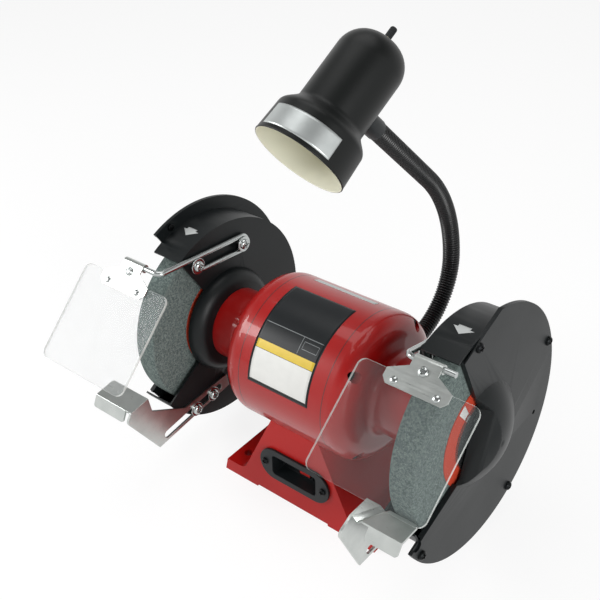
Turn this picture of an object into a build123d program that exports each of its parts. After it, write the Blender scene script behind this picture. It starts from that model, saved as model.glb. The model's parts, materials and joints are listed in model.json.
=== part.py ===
"""Eight-inch bench grinder with guards, tool rests, eye shields and a gooseneck lamp.

Millimetres. X runs along the shaft, +Y to the rear and +Z up. The origin is the middle
of the four mounting holes, on the bench.
"""

import os
from math import asin, atan, cos, degrees, pi, radians, sin, sqrt, tan

from build123d import *

os.makedirs("parts", exist_ok=True)

# Wheels and spindle
wheel_d = 203.2
wheel_t = 25.4
wheel_offset = 160.6
arbor_d = 15.875
journal_d = 17.0
core_d = 20.0
shaft_height = 150.0
blotter_r = 55.0
blotter_t = 0.8
flange_r = 37.0
flange_t = 5.0
flange_rim_t = 2.2
flange_seat_w = 11.0
flange_hub_r = 16.0
dish_deep = 0.8
dish_slope = 2.0
nut_across = 24.0
nut_t = 10.0
shaft_tail = 4.0
bore_fit = 0.05

# Motor
motor_r = 77.0
shell_half = 52.0
shell_wall = 5.0
bell_wall = 8.0
bell_round = 20.0
bell_end = 78.3
nose_r = 39.0
nose_root = 8.0
nose_end = 125.0
nose_wall = 8.0
tie_bolt_d = 5.0
tie_head_d = 8.6
tie_head_t = 4.0
tie_count = 4
tie_turn = 45.0
tie_pocket_x = 66.0
tie_pocket_fit = 1.2
tie_hole_fit = 0.3
tie_notch_fit = 1.0
stack_half = 30.0
rotor_r = 41.5
air_gap = 0.5
coil_out = 16.0
coil_above = 5.0
coil_clear = 2.0
coil_round = 5.0
bearing_d = 40.0
bearing_w = 12.0
bearing_x = 104.0
race_r = 13.0
race_gap = 0.4

# Pedestal
foot_half_x = 102.0
foot_half_y = 66.7
foot_t = 15.0
foot_draft = 3.5
flare_half = 73.0
waist_half = 31.0
top_half_y = 59.0
saddle_top = 101.0
root_round = 12.0
base_wall = 6.0
seat_gap = 0.05
hole_x = 86.0
hole_y = 45.0
hole_d = 9.0
relief_left = 54.5
relief_right = 42.5
relief_h = 2.5
lid_t = 1.5
lid_ledge = 4.0
lid_gap = 0.4

# Switch in the pedestal's front wall
switch_z = 46.0
plate_l = 92.0
plate_h = 38.0
plate_t = 3.0
well_l = 58.0
well_h = 24.0
well_deep = 17.0
well_wall = 2.0
well_corner = 3.5
well_gap = 0.5
switch_x = 4.0
switch_deep = 18.0
bezel_w = 20.0
bezel_h = 21.0
bezel_lip = 1.0
rocker_w = 13.6
rocker_h = 17.0
rocker_fit = 0.5
rocker_proud = 3.5
rocker_arm = 9.0
rocker_shoulder = 3.0
rocker_up = 8.9
rocker_saddle = 7.0
rocker_down = 7.3
rocker_belly = 5.0
rocker_inset = 0.6
crest_inset = 1.5
plate_screw_x = 38.5
plate_head_r = 3.84
plate_head_t = 2.4
gland_x = -34.0
gland_z = 34.0
gland_d = 20.0
gland_lip = 3.0
gland_flange_t = 4.0
gland_tail = 2.0
gland_bore = 8.0
gland_bore_deep = 8.0

# Guards, turned about the shaft to suit the user
sheet = 2.0
drum_gap = 11.9
cover_margin = 13.9
inner_space = 8.4
outer_space = 4.0
guard_turn = {-1: 0.0, 1: 8.0}
opening_middle = 15.5
opening_half = 45.5
boss_base_r = 58.0
boss_top_r = 46.5
boss_bulge = 3.1
shaft_hole_r = 13.0
chord_r = 108.4
mouth_b = 20.3
mouth_n = 35.0
mouth_drop = 5.7
mouth_slope = 44.5
mouth_reach = 140.0
mouth_lip = 3.0
notch_r = 5.5
notch_turn = 6.5
dome_r = 52.0
dome_rise = 21.0
wall_leans = (15.0, 37.0, 58.0)
wall_setbacks = (0.0, -7.0, -21.4)
screw_ring = 121.0
screw_turns = (140, 220, 300)
inner_screw_ring = 107.0
tab_turn = 14.5
tab_w = 14.4
spare_turn = 180.0
screw_d = 4.8
screw_head_d = 9.6
screw_head_t = 3.4

# Tool rests
rest_t = 2.5
rest_angle = -7.0
rest_bolt_u = 39.8
rest_bolt_v = -78.8
rest_bolt_pitch = 26.7
rest_bolt_d = 6.0
rest_washer_r = 8.1
slot_w = 9.0
slot_up = 1.0
slot_from = -14.0
slot_to = 75.0
rest_tail = 11.0
rest_below = 7.0
rest_above = 13.0
rest_heel = 9.0
rest_toe = 85.0
rest_nose = 112.0
rest_nose_q = 54.0
nose_round = 6.0
web_foot = 40.0
web_drop = 18.5
table_w = 54.0
table_deep = 24.5
table_q = 62.5
table_to_left = 104.0
table_to_right = 93.5
table_corner = 3.0
lip_l = 13.6
lip_angle = 54.0
lip_from_left = 6.0
lip_from_right = 18.0
lip_corner = 3.0
groove_w = 10.0
groove_deep = 4.0
groove_x = 5.2
groove_angle = 26.0
slide_gap = 0.1
washer_t = 1.5
bolt_head_r = 5.7
bolt_head_t = 3.4
bolt_nut_r = 5.77
bolt_nut_t = 3.4

# Eye shields and their bent-rod arms
rod_d = 5.5
rod_gap = 0.3
arm_bolt_u = -29.5
arm_bolt_v = 81.2
arm_angle = 6.46
arm_slid_left = 0.0
arm_slid_right = -12.7
loop_half = 8.1
return_to = 59.6
arm_reach = 116.3
front_screw = 67.3
rod_bend = 6.5
rod_end = 186.0
arm_bolt_d = 6.0
arm_washer_r = 8.6
hinge_fit = 0.08
shield_tilt = {-1: 42.0, 1: 37.0}
shield_slid_left = 9.9
shield_slid_right = 0.0
shield_w = 120.0
shield_from = 17.0
shield_to = 122.5
shield_t = 3.0
shield_corner = 8.0
strap_t = 1.5
strap_tab = 14.0
strap_tab_l = 8.0
strap_half = 32.0
strap_shoulder = 17.0
strap_l = 30.0
strap_corner = 5.0
clamp_s = 8.8
clamp_d = 5.0
clamp_head_r = 4.75
clamp_head_t = 2.5
clamp_nut_r = 4.0
clamp_nut_t = 3.5
clamp_tail = 1.5
rivet_x = 21.0
rivet_s = 24.8
rivet_d = 4.0
rivet_head_r = 3.6
rivet_head_t = 1.4

# Gooseneck lamp
lamp_inset = 11.0
lamp_pad_proud = 2.0
neck_stub = 11.0
neck_drop = 9.4
lower_r = 69.7
upper_r = 156.7
upper_turn = 43.9
straight_l = 106.0
neck_d = 18.0
rib_deep = 0.9
rib_pitch = 4.0
rib_share = 0.5
rib_slope = 0.15
neck_bore = 8.0
ball_r = 6.8
ball_fit = 0.3
stem_r = 5.4
joint_room = 6.0
collar_l = 5.0
lamp_pad_r = 10.5
shade_yaw = -6.78
shade_pitch = 33.0
shade_reach = 71.9
shade_hang = 63.5
mouth_r = 42.9
collar_r = 41.2
collar_to = 32.0
barrel_r = 31.0
barrel_from = 43.0
barrel_to = 99.0
shade_l = 122.9
shade_wall = 1.4
crown_r = 9.0
crown_bulge = 6.3
nipple_r = 5.0
holder_r = 17.0
holder_from = 74.0
holder_to = 108.0
bulb_r = 13.3
bulb_deep = 24.0
lamp_nut_r = 8.0
lamp_nut_t = 3.0
knob_r = 4.2
knob_l = 12.0

# Values worked out from the driving dimensions
wheel_r = wheel_d / 2
arbor_r = arbor_d / 2
wheel_in = wheel_offset - wheel_t / 2
wheel_out = wheel_offset + wheel_t / 2
plate_x = wheel_in - inner_space
cover_x = wheel_out + outer_space
drum_r = wheel_r + drum_gap
cover_r = drum_r + cover_margin
flange_in = wheel_in - blotter_t
nut_from = wheel_out + blotter_t + flange_t
shaft_end = nut_from + nut_t + shaft_tail
shell_r = motor_r - shell_wall
tie_r = motor_r - bell_wall
coil_in = rotor_r + coil_above
coil_rim = tie_r - tie_bolt_d / 2 - coil_clear
rest_x = plate_x - slide_gap
washer_x = rest_x - rest_t - slide_gap
bolt_end_x = plate_x + sheet + bolt_nut_t
rod_r = rod_d / 2
rod_x = plate_x - rod_gap - rod_r
knuckle_r = rod_r + hinge_fit
front_tilt = degrees(atan((foot_half_y - top_half_y) / saddle_top))
neck_x = shell_half - lamp_inset
lamp_pad_y = motor_r + lamp_pad_proud
neck_y = lamp_pad_y + neck_stub
neck_r = neck_d / 2
lower_l = lower_r * pi / 2
upper_l = upper_r * radians(upper_turn)
neck_l = lower_l + upper_l + straight_l

shaft_axis = Axis((0, 0, shaft_height), (1, 0, 0))
axial = Plane(origin=(0, 0, shaft_height), x_dir=(1, 0, 0), z_dir=(0, -1, 0))
sides = {-1: "left", 1: "right"}
rest_bolt = (rest_bolt_u, rest_bolt_v)
table_to = {-1: table_to_left, 1: table_to_right}
lip_from = {-1: lip_from_left, 1: lip_from_right}
arm_bolt = (arm_bolt_u, arm_bolt_v)
arm_slid = {-1: arm_slid_left, 1: arm_slid_right}
shield_centre = {-1: wheel_offset + shield_slid_left, 1: wheel_offset + shield_slid_right}


def guard_plane(side, x, turn):
    """Plane across the shaft at distance x, with its x to the front and its y up, turned."""
    t = radians(turn)
    return Plane(origin=(side * x, 0, shaft_height), x_dir=(0, -cos(t), sin(t)), z_dir=(-1, 0, 0))


def cover_plane(side, x):
    """Plane of a cover, its x along the opening's middle and its z towards the motor."""
    t = radians(guard_turn[side] + opening_middle)
    return Plane(origin=(side * x, 0, shaft_height), x_dir=(0, -cos(t), sin(t)), z_dir=(-side, 0, 0))


def line_plane(side, x, point, angle):
    """Plane across the shaft at distance x, its origin a guard point, its x along a line from there."""
    t = radians(guard_turn[side])
    u, v = point
    origin = (side * x, -u * cos(t) + v * sin(t), shaft_height + u * sin(t) + v * cos(t))
    a = radians(guard_turn[side] + angle)
    return Plane(origin, (0, -cos(a), sin(a)), (-1, 0, 0))


def bulged(start, end, bulge):
    """Middle of an arc between two points that bulges to the left of the way between them."""
    way = Vector(*end) - Vector(*start)
    middle = Vector(*start) + way / 2 + Vector(-way.Y, way.X).normalized() * bulge
    return (middle.X, middle.Y)


def mouth_points(grow):
    """Corners of the cover's opening, its edges moved outwards by grow."""
    slope = tan(radians(mouth_slope))
    shift = grow / cos(radians(mouth_slope))
    near = mouth_n - grow * slope + shift
    far = mouth_n + (mouth_reach - mouth_b) * slope + shift
    lower = [(mouth_b - grow, -near - mouth_drop), (mouth_reach, -far - mouth_drop)]
    return lower + [(mouth_reach, far - mouth_drop), (mouth_b - grow, near - mouth_drop)]


def dome_block(side, radius, foot, inset):
    """Solid under the cover's dome: a cap on a foot, with walls at the mouth that lean back in steps."""
    ball = (radius**2 + dome_rise**2) / (2 * dome_rise)
    top = cover_x + foot + dome_rise
    low = cover_x + foot - sheet
    with BuildPart() as block:
        with BuildSketch(Plane(axial.origin, (side, 0, 0), (0, -side, 0))):
            with BuildLine():
                CenterArc((top - ball, 0), ball, 0, degrees(asin(radius / ball)))
                Polyline((top - dome_rise, radius), (low, radius), (low, 0), (top, 0))
            make_face()
        revolve(axis=Axis(axial.origin, (side, 0, 0)))
        for lean, setback in zip(wall_leans, wall_setbacks):
            lean = radians(lean)
            for height in (-sheet, dome_rise + 2 * sheet):
                with BuildSketch(cover_plane(side, cover_x + height)):
                    Polygon(*mouth_points(setback + inset / cos(lean) + height * tan(lean)), align=None)
            loft(ruled=True, mode=Mode.SUBTRACT)
    return block.part


def neck_at(s):
    """Point and heading of the neck's middle line, s along it from the motor."""
    z = shaft_height - neck_drop
    if s <= lower_l:
        a = s / lower_r
        return Vector(neck_x, neck_y + lower_r * sin(a), z + lower_r * (1 - cos(a))), a
    if s <= lower_l + upper_l:
        b = (s - lower_l) / upper_r
        y = neck_y + lower_r - upper_r * (1 - cos(b))
        return Vector(neck_x, y, z + lower_r + upper_r * sin(b)), pi / 2 + b
    point, heading = neck_at(lower_l + upper_l)
    ahead = Vector(0, cos(heading), sin(heading))
    return point + ahead * (s - lower_l - upper_l), heading


def neck_plane(s):
    """Plane square to the neck, s along it from the motor."""
    point, heading = neck_at(s)
    return Plane(origin=point, x_dir=(1, 0, 0), z_dir=(0, cos(heading), sin(heading)))


# Pedestal: a flared front outline crossed with drafted sides, hollow below the saddle
with BuildPart() as hollow:
    with BuildSketch(Plane.XZ):
        low = flare_half - base_wall
        high = waist_half - base_wall
        Polygon((-low, 0), (low, 0), (high, saddle_top), (-high, saddle_top), align=None)
    extrude(amount=foot_half_y, both=True)
    with BuildSketch(Plane.YZ):
        low = foot_half_y - base_wall - lid_ledge
        high = top_half_y - base_wall
        Polygon((-low, 0), (low, 0), (high, saddle_top), (-high, saddle_top), align=None)
    extrude(amount=foot_half_x, both=True, mode=Mode.INTERSECT)
    with BuildSketch(Plane.YZ):
        with Locations((0, shaft_height)):
            Circle(motor_r + seat_gap + base_wall)
    extrude(amount=foot_half_x, both=True, mode=Mode.SUBTRACT)

wall_y = foot_half_y - switch_z * tan(radians(front_tilt))
switch_plane = Plane(
    origin=(0, -wall_y, switch_z),
    x_dir=(1, 0, 0),
    z_dir=(0, -cos(radians(front_tilt)), sin(radians(front_tilt))),
)
gland_plane = Plane(
    origin=(gland_x, foot_half_y - gland_z * tan(radians(front_tilt)), gland_z),
    x_dir=(-1, 0, 0),
    z_dir=(0, cos(radians(front_tilt)), sin(radians(front_tilt))),
)
lid_half_x = flare_half - base_wall + lid_ledge
lid_half_y = foot_half_y - base_wall

with BuildPart() as base:
    with BuildSketch(Plane.XZ) as front:
        toe = foot_half_x - foot_draft
        Polygon(
            (-foot_half_x, 0),
            (foot_half_x, 0),
            (toe, foot_t),
            (flare_half, foot_t),
            (waist_half, saddle_top),
            (-waist_half, saddle_top),
            (-flare_half, foot_t),
            (-toe, foot_t),
            align=None,
        )
        fillet(front.vertices().filter_by(lambda v: abs(abs(v.X) - flare_half) < 0.1), root_round)
    extrude(amount=foot_half_y, both=True)
    with BuildSketch(Plane.YZ):
        Polygon(
            (-foot_half_y, 0),
            (foot_half_y, 0),
            (top_half_y, saddle_top),
            (-top_half_y, saddle_top),
            align=None,
        )
    extrude(amount=foot_half_x, both=True, mode=Mode.INTERSECT)
    with BuildSketch(Plane.YZ):
        with Locations((0, shaft_height)):
            Circle(motor_r + seat_gap)
    extrude(amount=foot_half_x, both=True, mode=Mode.SUBTRACT)
    add(hollow.part, mode=Mode.SUBTRACT)
    with BuildSketch(Plane.XY):
        Rectangle(2 * lid_half_x, 2 * lid_half_y)
    extrude(amount=relief_h + lid_t, mode=Mode.SUBTRACT)
    with BuildSketch(Plane.XY):
        with Locations(((relief_right - relief_left) / 2, 0)):
            Rectangle(relief_left + relief_right, 2 * foot_half_y)
    extrude(amount=relief_h, mode=Mode.SUBTRACT)
    with BuildSketch(Plane.XY):
        with GridLocations(2 * hole_x, 2 * hole_y, 2, 2):
            Circle(hole_d / 2)
    extrude(amount=2 * foot_t, mode=Mode.SUBTRACT)
    with BuildSketch(switch_plane):
        grow = 2 * (well_wall + well_gap)
        RectangleRounded(well_l + grow, well_h + grow, well_corner + grow / 2)
    extrude(amount=-2 * base_wall, mode=Mode.SUBTRACT)
    with BuildSketch(gland_plane):
        Circle(gland_d / 2 - gland_lip)
    extrude(amount=-2 * base_wall, mode=Mode.SUBTRACT)
base.part.label = "base"
export_step(base.part, "parts/base.step")

with BuildPart() as base_lid:
    with BuildSketch(Plane.XY.offset(relief_h)):
        Rectangle(2 * (lid_half_x - lid_gap), 2 * (lid_half_y - lid_gap))
    extrude(amount=lid_t)
base_lid.part.label = "base_lid"
export_step(base_lid.part, "parts/base_lid.step")

# Cable entry: a flanged bush that seats on the rear wall, its end closed by a membrane
with BuildPart() as cord_gland:
    with BuildSketch(gland_plane):
        Circle(gland_d / 2)
    extrude(amount=gland_flange_t)
    with BuildSketch(gland_plane):
        Circle(gland_d / 2 - gland_lip)
    extrude(amount=-base_wall - gland_tail)
    with BuildSketch(gland_plane.offset(gland_flange_t)):
        Circle(gland_bore / 2)
    extrude(amount=-gland_bore_deep, mode=Mode.SUBTRACT)
cord_gland.part.label = "cord_gland"
export_step(cord_gland.part, "parts/cord_gland.step")

# Switch plate with its sunk well, the switch in the well's floor and its rocker
with BuildPart() as switch_plate:
    with BuildSketch(switch_plane):
        SlotOverall(plate_l, plate_h)
    extrude(amount=plate_t)
    with BuildSketch(switch_plane):
        RectangleRounded(well_l + 2 * well_wall, well_h + 2 * well_wall, well_corner + well_wall)
    extrude(amount=plate_t - well_deep - well_wall)
    with BuildSketch(switch_plane.offset(plate_t)):
        RectangleRounded(well_l, well_h, well_corner)
    extrude(amount=-well_deep, mode=Mode.SUBTRACT)
    with BuildSketch(switch_plane.offset(plate_t)):
        with Locations((switch_x, 0)):
            Rectangle(bezel_w - 2 * bezel_lip, bezel_h - 2 * bezel_lip)
    extrude(amount=-well_deep - 2 * well_wall, mode=Mode.SUBTRACT)
    with BuildSketch(switch_plane.offset(plate_t)):
        with GridLocations(2 * plate_screw_x, 0, 2, 1):
            Circle(screw_d / 2)
    extrude(amount=-plate_t, mode=Mode.SUBTRACT)
switch_plate.part.label = "switch_plate"
export_step(switch_plate.part, "parts/switch_plate.step")

with BuildPart() as plate_screws:
    with BuildSketch(switch_plane):
        with GridLocations(2 * plate_screw_x, 0, 2, 1):
            Circle(screw_d / 2)
    extrude(amount=plate_t)
    with BuildSketch(switch_plane.offset(plate_t)):
        with GridLocations(2 * plate_screw_x, 0, 2, 1):
            Circle(plate_head_r)
    extrude(amount=plate_head_t)
plate_screws.part.label = "plate_screws"
export_step(plate_screws.part, "parts/plate_screws.step")

floor = plate_t - well_deep
with BuildPart() as switch_body:
    with BuildSketch(switch_plane.offset(floor)):
        with Locations((switch_x, 0)):
            Rectangle(bezel_w, bezel_h)
    extrude(amount=well_wall)
    with BuildSketch(switch_plane.offset(floor)):
        with Locations((switch_x, 0)):
            Rectangle(bezel_w - 2 * bezel_lip, bezel_h - 2 * bezel_lip)
    extrude(amount=-switch_deep)
    with BuildSketch(switch_plane.offset(floor + well_wall)):
        with Locations((switch_x, 0)):
            Rectangle(rocker_w + 2 * rocker_fit, rocker_h + 2 * rocker_fit)
    extrude(amount=-switch_deep, mode=Mode.SUBTRACT)
switch_body.part.label = "switch_body"
export_step(switch_body.part, "parts/switch_body.step")

# Rocker: a prism with two faces that meet over the pivot, round underneath
rocker_pivot = floor + well_wall + rocker_proud - rocker_arm
with BuildPart() as rocker:
    tilt = radians(front_tilt)
    centre = switch_plane.from_local_coords((switch_x - rocker_w / 2, 0, rocker_pivot))
    side_view = Plane(origin=centre, x_dir=(0, sin(tilt), cos(tilt)), z_dir=(1, 0, 0))
    with BuildSketch(side_view) as rocker_side:
        with BuildLine():
            half = rocker_h / 2 - rocker_inset
            crest = half - crest_inset
            Polyline(
                (half, rocker_shoulder),
                (crest, rocker_up),
                (0, rocker_saddle),
                (-crest, rocker_down),
                (-half, rocker_shoulder),
            )
            ThreePointArc((-half, rocker_shoulder), (0, -rocker_belly), (half, rocker_shoulder))
        make_face()
    extrude(amount=rocker_w)
rocker.part.label = "rocker"
export_step(rocker.part, "parts/rocker.step")

# Motor: a rolled shell between two cast bells, tied by four long bolts
lamp_z = shaft_height - neck_drop
pad_plane = Plane(origin=(neck_x, 0, lamp_z), x_dir=(1, 0, 0), z_dir=(0, 1, 0))
with BuildPart() as motor_shell:
    with BuildSketch(Plane.YZ.offset(-shell_half)):
        with Locations((0, shaft_height)):
            Circle(motor_r)
    extrude(amount=2 * shell_half)
    with BuildSketch(pad_plane):
        Circle(lamp_pad_r)
    extrude(amount=lamp_pad_y)
    with BuildSketch(Plane.YZ.offset(-shell_half)):
        with Locations((0, shaft_height)):
            Circle(shell_r)
    extrude(amount=2 * shell_half, mode=Mode.SUBTRACT)
motor_shell.part.label = "motor_shell"
export_step(motor_shell.part, "parts/motor_shell.step")

for side, tag in sides.items():
    rim = motor_r - bell_round
    knee = bell_end - bell_round
    inner_round = bell_round - bell_wall
    seat_from = bearing_x - bearing_w / 2
    seat_to = bearing_x + bearing_w / 2
    corner = sqrt(0.5)
    with BuildPart() as end_bell:
        with BuildSketch(axial):
            with BuildLine():
                bend = rim + bell_round * corner
                Line((side * shell_half, motor_r), (side * knee, motor_r))
                ThreePointArc(
                    (side * knee, motor_r),
                    (side * (knee + bell_round * corner), bend),
                    (side * bell_end, rim),
                )
                Line((side * bell_end, rim), (side * bell_end, nose_r + nose_root))
                ThreePointArc(
                    (side * bell_end, nose_r + nose_root),
                    (side * (bell_end + nose_root * (1 - corner)), nose_r + nose_root * (1 - corner)),
                    (side * (bell_end + nose_root), nose_r),
                )
                Polyline(
                    (side * (bell_end + nose_root), nose_r),
                    (side * nose_end, nose_r),
                    (side * nose_end, shaft_hole_r),
                    (side * seat_to, shaft_hole_r),
                    (side * seat_to, bearing_d / 2),
                    (side * seat_from, bearing_d / 2),
                    (side * seat_from, nose_r - nose_wall),
                    (side * (bell_end - bell_wall), nose_r - nose_wall),
                    (side * (bell_end - bell_wall), rim),
                )
                ThreePointArc(
                    (side * (bell_end - bell_wall), rim),
                    (side * (knee + inner_round * corner), rim + inner_round * corner),
                    (side * knee, motor_r - bell_wall),
                )
                Polyline(
                    (side * knee, motor_r - bell_wall),
                    (side * shell_half, motor_r - bell_wall),
                    (side * shell_half, motor_r),
                )
            make_face()
        revolve(axis=shaft_axis)
        with BuildSketch(guard_plane(side, tie_pocket_x, tie_turn)):
            with PolarLocations(tie_r, tie_count):
                Circle(tie_head_d / 2 + tie_pocket_fit)
        extrude(amount=-side * bell_end, mode=Mode.SUBTRACT)
        with BuildSketch(guard_plane(side, 0, tie_turn)):
            with PolarLocations(tie_r, tie_count):
                Circle(tie_bolt_d / 2 + tie_hole_fit)
        extrude(amount=-side * bell_end, mode=Mode.SUBTRACT)
    end_bell.part.label = f"end_bell_{tag}"
    export_step(end_bell.part, f"parts/end_bell_{tag}.step")

with BuildPart() as tie_bolts:
    with BuildSketch(guard_plane(-1, tie_pocket_x, tie_turn)):
        with PolarLocations(tie_r, tie_count):
            Circle(tie_bolt_d / 2)
    extrude(amount=-2 * tie_pocket_x)
    for side in sides:
        with BuildSketch(guard_plane(side, tie_pocket_x, tie_turn)):
            with PolarLocations(tie_r, tie_count):
                RegularPolygon(tie_head_d / 2, 6)
        extrude(amount=-side * tie_head_t)
tie_bolts.part.label = "tie_bolts"
export_step(tie_bolts.part, "parts/tie_bolts.step")

# Stator stack with notches for the tie bolts, and its end turns
with BuildPart() as stator_core:
    with BuildSketch(guard_plane(1, -stack_half, tie_turn)):
        Circle(shell_r)
        Circle(rotor_r + air_gap, mode=Mode.SUBTRACT)
        with PolarLocations(tie_r, tie_count):
            Circle(tie_bolt_d / 2 + tie_notch_fit, mode=Mode.SUBTRACT)
    extrude(amount=-2 * stack_half)
stator_core.part.label = "stator_core"
export_step(stator_core.part, "parts/stator_core.step")

with BuildPart() as stator_winding:
    for side in sides:
        with BuildSketch(axial):
            with Locations((side * (stack_half + coil_out / 2), (coil_in + coil_rim) / 2)):
                RectangleRounded(coil_out, coil_rim - coil_in, min(coil_round, (coil_rim - coil_in) / 3))
        revolve(axis=shaft_axis)
stator_winding.part.label = "stator_winding"
export_step(stator_winding.part, "parts/stator_winding.step")

# Spindle: shaft, rotor, bearings, wheels and what clamps them
seat_in = bearing_x - bearing_w / 2
with BuildPart() as shaft:
    with BuildSketch(axial):
        Polygon(
            (-shaft_end, 0),
            (-shaft_end, arbor_r),
            (-flange_in + flange_t, arbor_r),
            (-flange_in + flange_t, journal_d / 2),
            (-seat_in, journal_d / 2),
            (-seat_in, core_d / 2),
            (seat_in, core_d / 2),
            (seat_in, journal_d / 2),
            (flange_in - flange_t, journal_d / 2),
            (flange_in - flange_t, arbor_r),
            (shaft_end, arbor_r),
            (shaft_end, 0),
            align=None,
        )
    revolve(axis=shaft_axis)
shaft.part.label = "shaft"
export_step(shaft.part, "parts/shaft.step")

with BuildPart() as rotor_core:
    with BuildSketch(guard_plane(1, -stack_half, 0)):
        Circle(rotor_r)
        Circle(core_d / 2, mode=Mode.SUBTRACT)
    extrude(amount=-2 * stack_half)
rotor_core.part.label = "rotor_core"
export_step(rotor_core.part, "parts/rotor_core.step")

with BuildPart() as bearing_outers:
    for side in sides:
        with BuildSketch(guard_plane(side, seat_in, 0)):
            Circle(bearing_d / 2)
            Circle(race_r + race_gap, mode=Mode.SUBTRACT)
        extrude(amount=-side * bearing_w)
bearing_outers.part.label = "bearing_outers"
export_step(bearing_outers.part, "parts/bearing_outers.step")

with BuildPart() as bearing_inners:
    for side in sides:
        with BuildSketch(guard_plane(side, seat_in, 0)):
            Circle(race_r)
            Circle(journal_d / 2, mode=Mode.SUBTRACT)
        extrude(amount=-side * bearing_w)
bearing_inners.part.label = "bearing_inners"
export_step(bearing_inners.part, "parts/bearing_inners.step")

for side, tag in sides.items():
    with BuildPart() as wheel:
        with BuildSketch(guard_plane(side, wheel_in, 0)):
            Circle(wheel_r)
            Circle(arbor_r + bore_fit, mode=Mode.SUBTRACT)
        extrude(amount=-side * wheel_t)
    wheel.part.label = f"wheel_{tag}"
    export_step(wheel.part, f"parts/wheel_{tag}.step")

with BuildPart() as blotters:
    for side in sides:
        for start in (wheel_in - blotter_t, wheel_out):
            with BuildSketch(guard_plane(side, start, 0)):
                Circle(blotter_r)
                Circle(arbor_r + bore_fit, mode=Mode.SUBTRACT)
            extrude(amount=-side * blotter_t)
blotters.part.label = "blotters"
export_step(blotters.part, "parts/blotters.step")

# Wheel flanges, dished so that they press on the blotter near their rims
with BuildPart() as wheel_flanges:
    for side in sides:
        for face, away in ((flange_in, -1), (wheel_out + blotter_t, 1)):
            dish = face + away * dish_deep
            back = face + away * flange_t
            seat_r = flange_r - flange_seat_w
            with BuildSketch(axial):
                Polygon(
                    (side * dish, arbor_r + bore_fit),
                    (side * back, arbor_r + bore_fit),
                    (side * back, flange_hub_r),
                    (side * (face + away * flange_rim_t), flange_hub_r + flange_t - flange_rim_t),
                    (side * (face + away * flange_rim_t), flange_r),
                    (side * face, flange_r),
                    (side * face, seat_r),
                    (side * dish, seat_r - dish_slope),
                    align=None,
                )
            revolve(axis=shaft_axis)
wheel_flanges.part.label = "wheel_flanges"
export_step(wheel_flanges.part, "parts/wheel_flanges.step")

with BuildPart() as arbor_nuts:
    for side in sides:
        with BuildSketch(guard_plane(side, nut_from, 0)):
            RegularPolygon(nut_across / 2, 6, major_radius=False)
            Circle(arbor_r + bore_fit, mode=Mode.SUBTRACT)
        extrude(amount=-side * nut_t)
arbor_nuts.part.label = "arbor_nuts"
export_step(arbor_nuts.part, "parts/arbor_nuts.step")

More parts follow.
